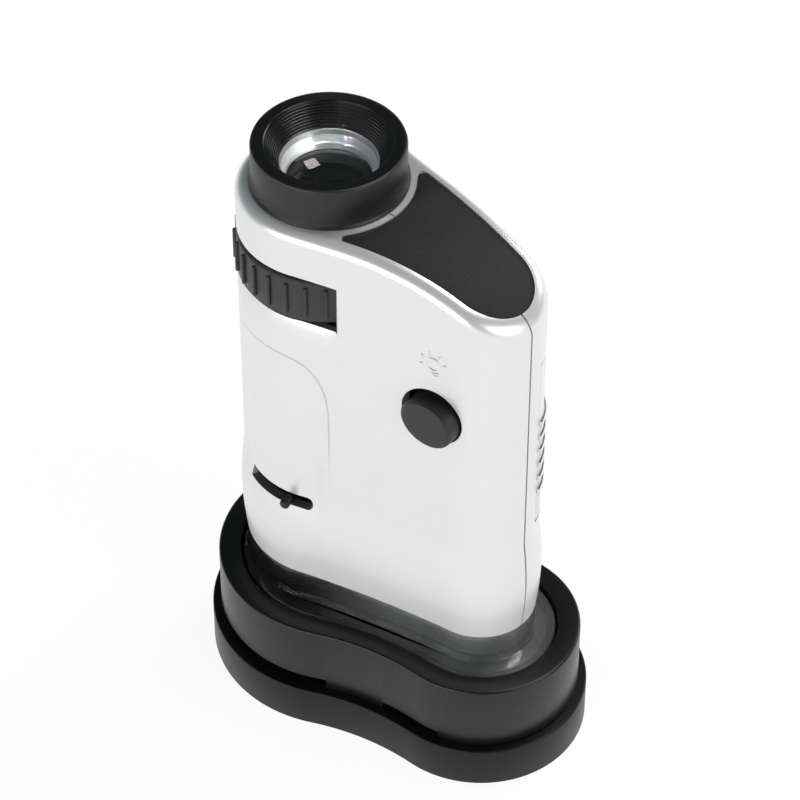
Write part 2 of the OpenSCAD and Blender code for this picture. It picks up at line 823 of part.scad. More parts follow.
module focus_ring() {
  low = focus_z - focus_ring_h / 2;
  color("gray")
    difference() {
      translate([0, 0, low]) cylinder(r = focus_ring_r, h = focus_ring_h);
      translate([0, 0, low - past]) cylinder(r = guide_r + run, h = focus_ring_h + 2 * past);
      cam_slot(guide_r, focus_ring_r, focus_pin_r, focus_pin_z, focus_lead, focus_drop, focus_rise);
      rotate(lever_angle + 180) pin_rod(lever_r + seat, focus_z, focus_ring_r - lever_root, far);
    }
}

module focus_lever() {
  color(black)
    rotate(lever_angle + 180)
      pin_rod(lever_r, focus_z, focus_ring_r - lever_root + seat, body_big_r + lever_out);
}

module objective_barrel() {
  nose_foot = objective_z + retainer_t;
  nose_top = nose_foot + nose_h;
  color("dimgray")
    difference() {
      union() {
        translate([0, 0, nose_foot]) cylinder(r = nose_r, h = nose_h);
        translate([0, 0, nose_top]) cylinder(r = barrel_r, h = barrel_top - nose_top);
      }
      translate([0, 0, objective_z]) cylinder(r = objective_r + run, h = objective_lens_top + run - objective_z);
      translate([0, 0, objective_z]) cylinder(r = objective_r - barrel_lip, h = far);
      translate([0, 0, nose_top + barrel_floor]) cylinder(r = barrel_r - barrel_wall, h = far);
      pin_rod(focus_pin_r + seat, focus_pin_z, barrel_r - barrel_wall - past, far);
    }
}

module objective_lens() {
  lens(objective_r, objective_edge, objective_sag, objective_lens_z + objective_edge / 2);
}

module objective_retainer() {
  color("dimgray")
    difference() {
      union() {
        translate([0, 0, objective_z]) cylinder(r = nose_r, h = retainer_t);
        translate([0, 0, objective_z]) cylinder(r = objective_r, h = retainer_h);
      }
      translate([0, 0, objective_z - past]) cylinder(r = objective_r - retainer_lip, h = far);
    }
}

module focus_pin() {
  color("silver") pin_rod(focus_pin_r, focus_pin_z, barrel_r - barrel_wall + seat, focus_ring_r - pin_short);
}

module clear_skirt() {
  color([0.8, 0.85, 0.88, 0.4])
    difference() {
      union() {
        body_prism(0, skirt_ledge_z, shell_foot_z - seat);
        body_prism(-shell_wall - run, skirt_ledge_z, shell_foot_z + spigot_h);
        base_prism(foot_o, seat_z, skirt_ledge_z + skirt_ledge_t);
      }
      body_prism(-shell_wall - run - spigot_wall, skirt_ledge_z - past, far);
      base_prism(foot_o - foot_wall, seat_z - past, skirt_ledge_z);
    }
}

module lamp_holder() {
  color("dimgray")
    difference() {
      union() {
        translate([lamp_x - lamp_plate_left, -lamp_plate_w / 2, shelf_z - lamp_plate_t])
          cube([lamp_plate_w, lamp_plate_w, lamp_plate_t]);
        lamp_place() cylinder(r = led_r + lamp_wall, h = lamp_len, center = true);
      }
      lamp_place() {
        cylinder(r = led_r + run, h = 4 * lamp_len, center = true);
        translate([0, 0, lamp_len / 2]) cylinder(r = led_r + lamp_rim_w + lap, h = lamp_len);
      }
    }
}

module lamp() {
  color([1, 1, 0.95])
    lamp_place() {
      translate([0, 0, -lamp_len / 2]) cylinder(r = led_r, h = lamp_len + lamp_rim_h);
      translate([0, 0, -lamp_len / 2]) sphere(r = led_r);
      translate([0, 0, lamp_len / 2 + seat]) cylinder(r = led_r + lamp_rim_w, h = lamp_rim_h);
    }
}

// Round lead along a path that keeps near a plane of constant Y
module lead(path, r) {
  sides = 8;
  last = len(path) - 1;
  rings = [for (i = [0 : last])
    let (
      way = path[min(i + 1, last)] - path[max(i - 1, 0)],
      along = way / norm(way),
      out = cross(along, [0, 1, 0]) / norm(cross(along, [0, 1, 0])),
      over = cross(out, along)
    )
    [for (s = [0 : sides - 1]) path[i] + r * (cos(360 * s / sides) * out + sin(360 * s / sides) * over)]];
  points = [for (ring = rings, p = ring) p];
  walls = [for (k = [0 : last - 1], s = [0 : sides - 1])
    let (t = (s + 1) % sides, a = k * sides, b = a + sides) [a + s, b + s, b + t, a + t]];
  start = [[for (s = [0 : sides - 1]) s]];
  end = [[for (s = [sides - 1 : -1 : 0]) last * sides + s]];
  polyhedron(points, concat(start, walls, end));
}

module lamp_leads() {
  top = lamp_len / 2 + lamp_rim_h + run;
  foot_x = lamp_x + sin(lamp_tilt) * top;
  foot_z = lamp_z + cos(lamp_tilt) * top;
  climb_x = web_reach + lead_room;
  join_z = board_z + lead_join;
  for (side = [-1, 1])
    color(side < 0 ? "black" : "red")
      let (y = lead_spread * (1 + side))
        lead([
          [foot_x + lead_r, y, foot_z + lead_spread],
          [foot_x - lead_r, y, foot_z + lead_rise],
          [climb_x + 2 * lead_bow, y, shelf_z + 3 * lead_rise],
          [climb_x + lead_bow, y, focus_z + lead_rise],
          [climb_x, y, lower_web_z + lead_rise],
          [climb_x, y, upper_web_z],
          [climb_x + 2 * lead_bow, y, join_z - lead_join],
          [(climb_x + board_x0) / 2 + lead_bow, y + lead_r, join_z - lead_bow],
          [board_x0 - lap / 2, board_y + board_t / 2 + side * lead_spread, join_z]], lead_r);
}

module circuit_board() {
  color("seagreen")
    translate([board_x0, board_y, board_z]) cube([board_x1 - board_x0, board_t, board_h]);
}

module push_switch() {
  color("black")
    difference() {
      translate([button_x - switch_w / 2, switch_front, button_z - switch_w / 2])
        cube([switch_w, board_y - switch_front, switch_w]);
      cross_rod([button_x, button_z], plunger_r + 2 * run, switch_front - past, board_y - switch_floor);
    }
}

module switch_plunger() {
  color("white")
    cross_rod([button_x, button_z], plunger_r, flange_front + flange_t, plunger_end);
}

// Half of the section through the button's cap
module button_half(r, low, high) {
  polygon([[0, low], [r, low], [r, high - button_edge], [r - button_edge, high], [0, high]]);
}

// The cap is an oval whose lower edge keeps the room that a round one would have
module lamp_button() {
  face = half_width(button_x, 0) + button_out;
  back = -flange_front - flange_t;
  cap_r = button_tall / 2;
  side = button_r - cap_r;
  color([0.24, 0.24, 0.24])
    translate([button_x, 0, button_z])
      rotate([90, 0, 0]) {
        translate([0, 0, back]) cylinder(r = flange_r, h = flange_t);
        translate([0, -side, 0]) {
          for (end = [-side, side])
            translate([end, 0, 0]) rotate_extrude() button_half(cap_r, back, face);
          rotate([90, 0, 90])
            translate([0, 0, -side])
              linear_extrude(2 * side)
                for (turn = [0, 1]) mirror([turn, 0]) button_half(cap_r, back, face);
        }
      }
}

module battery_holder() {
  outer = holder_r + holder_wall;
  room = holder_top - holder_z - holder_t;
  color("dimgray")
    difference() {
      translate([body_gap, 0, holder_z]) cylinder(r = outer, h = room + 2 * holder_t);
      translate([body_gap, 0, holder_z + holder_t]) cylinder(r = holder_r, h = room);
      translate([body_gap - far / 2, 0, holder_z + holder_t]) cube([far, far, room]);
    }
}

module battery_cells() {
  color("silver")
    for (i = [0 : cells - 1])
      translate([body_gap, 0, cell_z + i * cell_h])
        rotate_extrude()
          polygon([[0, 0], [cell_r - 2 * cell_lip, 0], [cell_r - 2 * cell_lip, cell_lip], [cell_r, cell_lip],
            [cell_r, cell_h - seat], [0, cell_h - seat]]);
}

module battery_contact_lower() {
  top = contact_rise - seat;
  color("gold")
    translate([body_gap, 0, holder_z + holder_t])
      rotate_extrude()
        polygon([[0, 0], [contact_r, 0], [contact_r, contact_t], [contact_foot_r, contact_t],
          [contact_tip_r, top], [0, top]]);
}

module battery_contact_upper() {
  color("gold")
    translate([body_gap, 0, cells_top + seat]) cylinder(r = contact_r, h = contact_t);
}

module battery_door() {
  rib_first = door_rib_z - door_rib_pitch * (door_ribs - 1) / 2;
  color(silver)
    difference() {
      intersection() {
        union() {
          body_prism(0, door_z + door_gap, door_z + door_h - door_gap);
          for (i = [0 : door_ribs - 1])
            let (z = rib_first + i * door_rib_pitch)
              body_prism(door_rib_h, z - door_rib_w / 2, z + door_rib_w / 2);
        }
        door_space(door_gap);
      }
      body_prism(-door_t, 0, far);
    }
}

module base_plate() {
  color(black)
    difference() {
      union() {
        difference() {
          base_prism(0, 0, plate_h);
          base_prism(-base_wall, -past, plate_h - base_wall);
        }
        for (at = base_screw_at)
          translate([at.x, at.y, base_head_z]) cylinder(r = boss_r, h = plate_h - base_head_z - base_wall / 2);
      }
      for (at = base_screw_at) {
        translate([at.x, at.y, -past]) cylinder(r = screw_r + 3 * pilot_gap, h = far);
        translate([at.x, at.y, -past])
          cylinder(r = screw_head_r + lap, h = base_head_z + screw_head_h + past);
      }
    }
}

module base_collar() {
  notch_x = base_x + base_gap - notch_left;
  color(black)
    difference() {
      base_prism(-ledge, plate_h, rim_z);
      base_prism(-ledge - rim_w, seat_z, far);
      translate([0, 0, plate_h - past]) cylinder(r = view_r, h = far);
      translate([-slide_w / 2, -far / 2, plate_h - past]) cube([slide_w, far, slide_h + past]);
      difference() {
        translate([notch_x, -far, plate_h - past]) cube([notch_left + notch_right, far, notch_h + past]);
        base_prism(-ledge - notch_depth, plate_h - 2 * past, plate_h + notch_h + past);
      }
      for (at = base_screw_at)
        translate([at.x, at.y, plate_h - past])
          cylinder(r = screw_r + pilot_gap, h = base_screw_top - plate_h + 2 * past);
    }
}

module base_screws() {
  color("gainsboro")
    for (at = base_screw_at)
      translate([at.x, at.y, 0]) {
        translate([0, 0, base_head_z]) cylinder(r = screw_head_r, h = screw_head_h);
        translate([0, 0, base_head_z]) cylinder(r = screw_r, h = base_screw_top - base_head_z);
      }
}

// Moves a piece from the optical axis to the middle of the base
module placed() {
  translate([axis_x, 0, 0]) children();
}

placed() base_plate();
placed() base_collar();
placed() base_screws();
placed() front_shell();
placed() rear_shell();
placed() shell_screws();
placed() label_plate();
placed() eyecup();
placed() eye_lens_ring();
placed() eye_lens();
placed() optical_tube();
placed() field_stop();
placed() zoom_ring();
placed() zoom_cam_sleeve();
placed() zoom_lens_cell();
placed() zoom_lens();
placed() zoom_pin();
placed() objective_guide();
placed() focus_ring();
placed() focus_lever();
placed() objective_barrel();
placed() objective_lens();
placed() objective_retainer();
placed() focus_pin();
placed() clear_skirt();
placed() lamp_holder();
placed() lamp();
placed() lamp_leads();
placed() circuit_board();
placed() push_switch();
placed() switch_plunger();
placed() lamp_button();
placed() battery_holder();
placed() battery_cells();
placed() battery_contact_lower();
placed() battery_contact_upper();
placed() battery_door();
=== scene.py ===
# %% [markdown]
# # A pocket microscope, dressed for a studio picture
# The real object is a moulded hand-held microscope: a silver painted body of two lobes, a black
# eyecup over the large lobe, and a black two-storey base that takes a glass slide. The packed
# model already has every working piece in its place. Here each piece that the eye meets is
# modelled again with finer edges, and every other piece gets a finish of its own.

import math

import bpy
from mathutils import Matrix, Vector


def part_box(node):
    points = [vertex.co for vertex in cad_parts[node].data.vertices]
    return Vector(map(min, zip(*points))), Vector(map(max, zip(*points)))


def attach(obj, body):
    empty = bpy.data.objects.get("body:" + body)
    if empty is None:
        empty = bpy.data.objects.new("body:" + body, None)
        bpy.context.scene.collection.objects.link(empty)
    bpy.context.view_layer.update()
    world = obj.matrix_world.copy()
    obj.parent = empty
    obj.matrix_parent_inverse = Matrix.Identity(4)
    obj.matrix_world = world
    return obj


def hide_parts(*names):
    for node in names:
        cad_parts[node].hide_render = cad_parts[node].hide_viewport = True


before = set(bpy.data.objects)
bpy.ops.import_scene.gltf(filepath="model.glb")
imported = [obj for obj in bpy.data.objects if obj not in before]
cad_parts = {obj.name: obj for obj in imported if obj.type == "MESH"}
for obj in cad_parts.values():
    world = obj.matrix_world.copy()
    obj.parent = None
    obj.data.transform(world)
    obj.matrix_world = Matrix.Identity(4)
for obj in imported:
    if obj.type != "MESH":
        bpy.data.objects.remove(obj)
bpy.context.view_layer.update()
bpy.context.scene.view_settings.view_transform = "Standard"

MM = 0.001
cup_low, cup_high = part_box("eyecup")
AXIS_X = (cup_low.x + cup_high.x) / 2
print("optical axis at x =", round(AXIS_X / MM, 3), "mm, nodes:", len(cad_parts))

# %% [markdown]
# ## The camera
# The picture was taken with a long lens from above, in front of the small lobe's side. A direction,
# a distance and a focal length say all of it. The three vectors below are the camera's own right,
# up and backward directions, and a small roll turns the first two about the third.

# %% Camera
CAMERA_AZIMUTH = math.radians(38.151)
CAMERA_ELEVATION = math.radians(43.742)
CAMERA_ROLL = math.radians(0.137)
CAMERA_DISTANCE = 556.61 * MM
CAMERA_TARGET = Vector((-0.355, 0, 60.07)) * MM
SENSOR = 36
FOCAL_SHARE = 4.4055

back = Vector((
    math.sin(CAMERA_AZIMUTH) * math.cos(CAMERA_ELEVATION),
    -math.cos(CAMERA_AZIMUTH) * math.cos(CAMERA_ELEVATION),
    math.sin(CAMERA_ELEVATION),
))
level = Vector((math.cos(CAMERA_AZIMUTH), math.sin(CAMERA_AZIMUTH), 0))
upward = back.cross(level)
right = level * math.cos(CAMERA_ROLL) + upward * math.sin(CAMERA_ROLL)
up = upward * math.cos(CAMERA_ROLL) - level * math.sin(CAMERA_ROLL)

lens = bpy.data.cameras.new("studio_camera")
lens.sensor_width = SENSOR
lens.lens = SENSOR * FOCAL_SHARE
camera = bpy.data.objects.new("studio_camera", lens)
bpy.context.scene.collection.objects.link(camera)
turn = Matrix((right, up, back)).transposed().to_4x4()
camera.matrix_world = Matrix.Translation(CAMERA_TARGET + back * CAMERA_DISTANCE) @ turn
bpy.context.scene.camera = camera
print("camera at", [round(c, 4) for c in camera.location], "lens", round(lens.lens, 1), "mm")

# %% [markdown]
# ## Shader maths
# A finish is easier to read as arithmetic than as a drawing of boxes and wires. One small class
# stands for a socket: adding or multiplying two of them puts a Math node into the material. Any
# other node comes from its one method, which takes settings first and then sockets.

# %% A socket that can be calculated with
class Wire:
    """An output socket. Arithmetic on it adds Math nodes to its tree."""

    def __init__(self, tree, socket=None):
        self.tree = tree
        self.socket = socket

    def node(self, kind, settings=None, inputs=None, output=0):
        made = self.tree.nodes.new(kind)
        for name, value in (settings or {}).items():
            if name == "stops":
                for element, (position, colour) in zip(made.color_ramp.elements, value):
                    element.position = position
                    element.color = colour
            else:
                setattr(made, name, value)
        for name, value in (inputs or {}).items():
            if isinstance(value, Wire):
                self.tree.links.new(value.socket, made.inputs[name])
            else:
                made.inputs[name].default_value = value
        return Wire(self.tree, made.outputs[output] if made.outputs else None)

    def math(self, operation, first, second):
        return self.node("ShaderNodeMath", {"operation": operation}, {0: first, 1: second})

    def __add__(self, other):
        return self.math("ADD", self, other)

    __radd__ = __add__

    def __sub__(self, other):
        return self.math("SUBTRACT", self, other)

    def __rsub__(self, other):
        return self.math("SUBTRACT", other, self)

    def __mul__(self, other):
        return self.math("MULTIPLY", self, other)

    __rmul__ = __mul__


print("sockets can be added, subtracted and multiplied")

# %% [markdown]
# Every finish starts as an empty material and ends at its output. Its colours drift with a noise
# that fills space, so no seam shows and no piece has to be unwrapped.

# %% Helpers for finishes
MIX_LOW, MIX_HIGH, MIX_COLOUR = 6, 7, 2


def start_finish(name):
    """An empty material and a wire to build its nodes with."""
    material = bpy.data.materials.new(name)
    material.use_nodes = True
    material.node_tree.nodes.clear()
    return material, Wire(material.node_tree)


def end_finish(wire, shader):
    wire.node("ShaderNodeOutputMaterial", None, {"Surface": shader})


def noise(wire, size, detail):
    """Cloudy values from 0 to 1, with features of a size in millimetres."""
    spot = wire.node("ShaderNodeTexCoord", None, None, "Object")
    inputs = {"Vector": spot, "Scale": 1 / (size * MM), "Detail": detail, "Roughness": 0.5}
    return wire.node("ShaderNodeTexNoise", {"noise_dimensions": "3D"}, inputs)


def between(wire, amount, low, high):
    """A colour that runs from low to high as the amount goes from 0 to 1."""
    low, high = [end if isinstance(end, Wire) else (*end, 1) for end in (low, high)]
    inputs = {"Factor": amount, MIX_LOW: low, MIX_HIGH: high}
    return wire.node("ShaderNodeMix", {"data_type": "RGBA"}, inputs, MIX_COLOUR)


def relief(wire, strength, distance, height, under=None):
    """A bump over a distance in millimetres, perhaps on top of another one."""
    inputs = {"Strength": strength, "Distance": distance * MM, "Height": height}
    if under:
        inputs["Normal"] = under
    return wire.node("ShaderNodeBump", None, inputs)


def principled(wire, inputs):
    return wire.node("ShaderNodeBsdfPrincipled", None, inputs)


print("helpers for finishes ready")

# %% [markdown]
# ## Moulded plastic
# Most pieces are injection moulded. Such a surface is never quite even: its colour drifts a little,
# its gloss drifts more, and a fine grain from the mould breaks up reflections. One function makes
# them all, with the grain's size and depth as its arguments. It can also carry a form that is too
# fine for the mesh, and paint places dark grey as painted shade.

# %% A moulded finish
CLOUD = 9.0
PAINTED_SHADE_GREY = (0.10, 0.10, 0.105)


def moulded(
    name, dark, light, gloss, grain, depth,
    metal=0.0, coat=0.0, index=1.5, form=None, painted_shade=None,
):
    """A plastic whose colour and roughness drift, with a fine grain, and a form or painted shade.
    """
    material, wire = start_finish(name)
    cloud = noise(wire, CLOUD, 3)
    grains = noise(wire, grain, 2)
    low_gloss, high_gloss = gloss
    step = relief(wire, 1.0, 1 / MM, form(wire)) if form else None
    tone = between(wire, cloud * 0.6 + grains * 0.4, dark, light)
    # Painted shade: where the mask says so, the colour is pulled to a dark grey.
    if painted_shade:
        tone = between(wire, painted_shade(wire), tone, PAINTED_SHADE_GREY)
    shader = principled(wire, {
        "Base Color": tone,
        "Roughness": cloud * (high_gloss - low_gloss) + low_gloss,
        "Metallic": metal(wire) if callable(metal) else metal,
        "IOR": index,
        "Coat Weight": coat,
        "Coat Roughness": 0.12,
        "Normal": relief(wire, depth, grain, grains, step),
    })
    end_finish(wire, shader)
    return material


print("moulded finishes can be made")

# %% [markdown]
# The blacks differ in depth and gloss. The base is polished, the plate under it less so, and ring
# and button are satin. The pieces inside are matt, so that stray light dies there.

# %% Moulded colours
plate_black = moulded(
    "plate_black", (0.003, 0.003, 0.003), (0.006, 0.006, 0.006), (0.34, 0.46), 0.40, 0.06,
    index=1.34)
base_black = moulded(
    "base_black", (0.004, 0.004, 0.004), (0.008, 0.0075, 0.007), (0.285, 0.36), 0.40, 0.07,
    index=1.45)
black_satin = moulded(
    "black_satin", (0.019, 0.019, 0.019), (0.030, 0.0295, 0.029), (0.40, 0.52), 0.25, 0.10)
button_grey = moulded(
    "button_grey", (0.012, 0.012, 0.012), (0.020, 0.0195, 0.0195), (0.42, 0.55), 0.22, 0.12)
inner_black = moulded(
    "inner_black", (0.010, 0.010, 0.010), (0.020, 0.020, 0.020), (0.55, 0.70), 0.30, 0.10)
inner_grey = moulded(
    "inner_grey", (0.030, 0.030, 0.031), (0.050, 0.050, 0.052), (0.50, 0.65), 0.30, 0.08)
board_green = moulded(
    "board_green", (0.02, 0.16, 0.07), (0.04, 0.24, 0.11), (0.29, 0.40), 0.50, 0.05)
lead_red = moulded(
    "lead_red", (0.28, 0.015, 0.012), (0.40, 0.025, 0.020), (0.30, 0.42), 0.30, 0.04)
print("finishes so far:", len(bpy.data.materials))

# %% [markdown]
# ## The label film
# The label is printed film with a sandy grain. Its speckle is a sharp colour ramp on fine noise,
# and the same noise raises a slight bump.

# %% Label film
def speckled_film(name):
    """Dark matt film with fine lighter specks."""
    material, wire = start_finish(name)
    sand = noise(wire, 0.16, 1)
    cloud = noise(wire, 7.0, 2)
    specks = wire.node(
        "ShaderNodeValToRGB",
        {"stops": [(0.45, (0.017, 0.0165, 0.0165, 1)), (0.72, (0.036, 0.035, 0.035, 1))]},
        {"Fac": sand * 0.85 + cloud * 0.15},
    )
    shader = principled(wire, {
        "Base Color": specks,
        "Roughness": cloud * 0.1 + 0.58,
        "IOR": 1.4,
        "Normal": relief(wire, 0.25, 0.05, sand),
    })
    end_finish(wire, shader)
    return material


label_film = speckled_film("label_film")
print("made", label_film.name)

# %% [markdown]
# ## Brushed metal
# Screws, pins and cells are steel, and the battery contacts are plated brass. The brushing runs
# along one direction, which is noise stretched by a Mapping node.

# %% Brushed metal
def brushed(name, dark, light, stretch, rough):
    """Metal with fine lines along the direction in which the noise is stretched."""
    material, wire = start_finish(name)
    spot = wire.node("ShaderNodeTexCoord", None, None, "Object")
    stretched = wire.node("ShaderNodeMapping", None, {"Vector": spot, "Scale": stretch})
    lines = wire.node(
        "ShaderNodeTexNoise", None, {"Vector": stretched, "Scale": 1 / (0.25 * MM), "Detail": 2.0})
    shader = principled(wire, {
        "Base Color": between(wire, lines, dark, light),
        "Roughness": lines * 0.12 + rough,
        "Metallic": 1.0,
        "Normal": relief(wire, 0.15, 0.02, lines),
    })
    end_finish(wire, shader)
    return material


bright_steel = brushed("bright_steel", (0.52, 0.52, 0.53), (0.70, 0.70, 0.70), (1, 1, 0.1), 0.28)
plated_brass = brushed("plated_brass", (0.58, 0.46, 0.22), (0.74, 0.62, 0.34), (0.1, 1, 1), 0.28)
print("made", bright_steel.name, "and", plated_brass.name)

# %% [markdown]
# ## Finishes that know their place
# Some finishes change over a piece: paint thins towards the foot, and a polish ends at a radius.
# For those a point is measured from the optical axis, and a smooth ramp turns a length into a
# share from 0 to 1.

# %% Places about the optical axis
def ramp(wire, value, start, end):
    """Rises smoothly from 0 to 1 while a length goes from start to end, in millimetres."""
    return wire.node(
        "ShaderNodeMapRange",
        {"interpolation_type": "SMOOTHSTEP"},
        {
            "Value": value,
            "From Min": start * MM,
            "From Max": end * MM,
            "To Min": 0.0,
            "To Max": 1.0,
        },
    )


def about_axis(wire):
    """The point, measured from the foot of the optical axis."""
    spot = wire.node("ShaderNodeTexCoord", None, None, "Object")
    return wire.node(
        "ShaderNodeVectorMath", {"operation": "SUBTRACT"}, {0: spot, 1: (AXIS_X, 0, 0)})


def coordinate(wire, axis):
    """How far the point lies along X, Y or Z."""
    return wire.node("ShaderNodeSeparateXYZ", None, {"Vector": about_axis(wire)}, axis)


def axis_distance(wire):
    """How far the point lies from the optical axis."""
    level_spot = wire.node(
        "ShaderNodeVectorMath", {"operation": "MULTIPLY"}, {0: about_axis(wire), 1: (1, 1, 0)})
    return wire.node("ShaderNodeVectorMath", {"operation": "LENGTH"}, {0: level_spot}, "Value")


print("places about the axis ready")

# %% [markdown]
# ## The silver paint
# The body is sprayed with silver lacquer over grey plastic. Three things are added. A crisp step
# runs round the thumb scoop, too fine for the mesh, so it is drawn as a bump. The lacquer is thin
# at the foot, where a mask covered the edge, so it is less metallic there. And level faces below
# the top, with the lips of slit and window, and the inside of the large lobe are painted dark grey
# as painted shade.

# %% Silver paint
SCOOP_ANGLE = -98
SCOOP_HALF = 46
SCOOP_SHOULDER_Z = 59
SCOOP_RISE = 15
SCOOP_POWER = 3.5
SCOOP_EDGE = 0.22
SCOOP_STEP = (0.96, 1.0)
SCOOP_STEP_Z = (44, 60)
LEVEL_FACE = (0.75, 0.9)
SHADE_R = (13.1, 13.6)
SHADE_Z = (86, 87)
MASK_Z = (26, 40)
METAL_LEAST, METAL_GAIN = 0.04, 0.46


def scoop_edge(wire):
    """Height of the crisp step round the thumb scoop, whose upper end is a squarish arch."""
    x, y, z = [coordinate(wire, axis) for axis in "XYZ"]
    swing = wire.math("ARCTAN2", y, x) - math.radians(SCOOP_ANGLE)
    across = wire.math("ABSOLUTE", swing, 0.0) * (1 / math.radians(SCOOP_HALF))
    along = wire.math("MAXIMUM", z - SCOOP_SHOULDER_Z * MM, 0.0) * (1 / (SCOOP_RISE * MM))
    total = wire.math("POWER", across, SCOOP_POWER) + wire.math("POWER", along, SCOOP_POWER)
    arch = wire.math("POWER", total, 1 / SCOOP_POWER)
    step = ramp(wire, arch * MM, *SCOOP_STEP)
    return step * ramp(wire, z, *SCOOP_STEP_Z) * (SCOOP_EDGE * MM)


# Painted shade: a mask of level faces and of the inside, which darkens them.
def painted_shade_faces(wire):
    """1 inside the large lobe and on level faces below the top, where shade is painted dark grey.
    """
    facing = wire.node("ShaderNodeTexCoord", None, None, "Normal")
    climb = wire.node("ShaderNodeSeparateXYZ", None, {"Vector": facing}, "Z")
    flat = ramp(wire, wire.math("ABSOLUTE", climb, 0.0) * MM, *LEVEL_FACE)
    inside = 1 - ramp(wire, axis_distance(wire), *SHADE_R)
    below = 1 - ramp(wire, coordinate(wire, "Z"), *SHADE_Z)
    return wire.math("MAXIMUM", flat, inside) * below


def metal_share(wire):
    """How metallic the paint is: least at the foot, where it was masked, and none under the painted
    shade.
    """
    share = ramp(wire, coordinate(wire, "Z"), *MASK_Z) * METAL_GAIN + METAL_LEAST
    return share * (1 - painted_shade_faces(wire))


silver_paint = moulded(
    "silver_paint", (0.84, 0.845, 0.85), (0.92, 0.92, 0.915), (0.285, 0.35), 0.35, 0.015,
    metal=metal_share, coat=0.2, form=scoop_edge, painted_shade=painted_shade_faces)
print("made", silver_paint.name)

# %% [markdown]
# ## Glass and clear plastic
# Lenses, lamp and skirt let light through, and differ in colour and roughness. The skirt is a
# simple moulding. Its faces wave a little, and a share of milky plastic is mixed in. That share
# grows towards the small lobe as painted light, which makes that end lighter and the other darker.

# %% Clear finishes
LIT_HAZE_X = (2, 24)


def clear(name, low, high, rough, index, haze=0.0):
    """Glass or clear plastic. Haze is a milky share that grows towards the small lobe as painted
    light.
    """
    material, wire = start_finish(name)
    cloud = noise(wire, 5.0, 2)
    inputs = {
        "Base Color": between(wire, cloud, low, high),
        "Roughness": cloud * 0.03 + rough,
        "IOR": index,
        "Transmission Weight": 1.0,
    }
    if haze:
        inputs["Normal"] = relief(wire, 0.3, 0.15, noise(wire, 4.0, 1))
    shader = principled(wire, inputs)
    if haze:
        milky = principled(wire, {
            "Base Color": between(wire, cloud, (0.70, 0.73, 0.74), high),
            "Roughness": 0.25,
            "Normal": inputs["Normal"],
        })
        # Painted light: the milky share grows along X, so the small lobe's end looks lit.
        lit_haze = ramp(wire, coordinate(wire, "X"), *LIT_HAZE_X) * 0.9 + 0.1
        share = lit_haze * (cloud * 1.2 + 0.4) * haze
        shader = wire.node("ShaderNodeMixShader", None, {0: share, 1: shader, 2: milky})
    end_finish(wire, shader)
    return material


lens_glass = clear("lens_glass", (0.96, 0.98, 0.98), (1.0, 1.0, 1.0), 0.0, 1.52)
clear_plastic = clear(
    "clear_plastic", (0.93, 0.95, 0.96), (0.98, 0.99, 0.99), 0.02, 1.50, haze=0.11)
print("made", lens_glass.name, "and", clear_plastic.name)

# %% [markdown]
# ## Plastics of the eyepiece
# The ring round the eye lens is milky: light goes a little way into it and comes out beside, which
# softens its shadows. Its upper wall is painted grey as painted shade. The eyecup is black all
# over, satin outside, and polished inside its mouth, where the mould was turned.

# %% Milky ring and eyecup
SHADED_WALL_Z = 101.2
MOUTH_R = 11.6
BLEND = 0.05


def frosted(name, edge_z):
    """Milky white plastic, painted grey above a height as shade on its upper wall."""
    material, wire = start_finish(name)
    cloud = noise(wire, 3.0, 2)
    white = between(wire, cloud, (0.80, 0.84, 0.85), (0.90, 0.93, 0.93))
    grey = between(wire, cloud, (0.36, 0.39, 0.40), (0.47, 0.50, 0.50))
    # Painted shade: above this height the white turns grey.
    shaded_upper = ramp(wire, coordinate(wire, "Z"), edge_z - BLEND, edge_z + BLEND)
    shader = principled(wire, {
        "Base Color": between(wire, shaded_upper, white, grey),
        "Roughness": cloud * 0.1 + 0.62,
        "IOR": 1.35,
        "Subsurface Weight": 1.0,
        "Subsurface Radius": (1, 1, 1),
        "Subsurface Scale": 0.8 * MM,
    })
    end_finish(wire, shader)
    return material


def cup_finish(name, mouth_r):
    """Black plastic, satin outside and polished inside a radius, where the mould was turned."""
    material, wire = start_finish(name)
    cloud = noise(wire, CLOUD, 3)
    grains = noise(wire, 0.30, 2)
    outside = ramp(wire, axis_distance(wire), mouth_r - BLEND, mouth_r + BLEND)
    shader = principled(wire, {
        "Base Color": between(wire, cloud, (0.004, 0.004, 0.004), (0.008, 0.0075, 0.0075)),
        "Roughness": outside * 0.22 + cloud * 0.08 + 0.16,
        "Normal": relief(wire, 0.05, 0.3, grains),
    })
    end_finish(wire, shader)
    return material


frosted_ring = frosted("frosted_ring", SHADED_WALL_Z)
cup_black = cup_finish("cup_black", MOUTH_R)
print("all finishes:", sorted(m.name for m in bpy.data.materials if m.use_nodes))

# %% [markdown]
# ## The floor
# The object stands on a pale sweep. The floor is white to the camera and in reflections. A share
# of it stays plain matt, so that a soft shadow is left in it.

# %% Floor
FLOOR_SIZE = 12
FLOOR_GLOW = 0.85

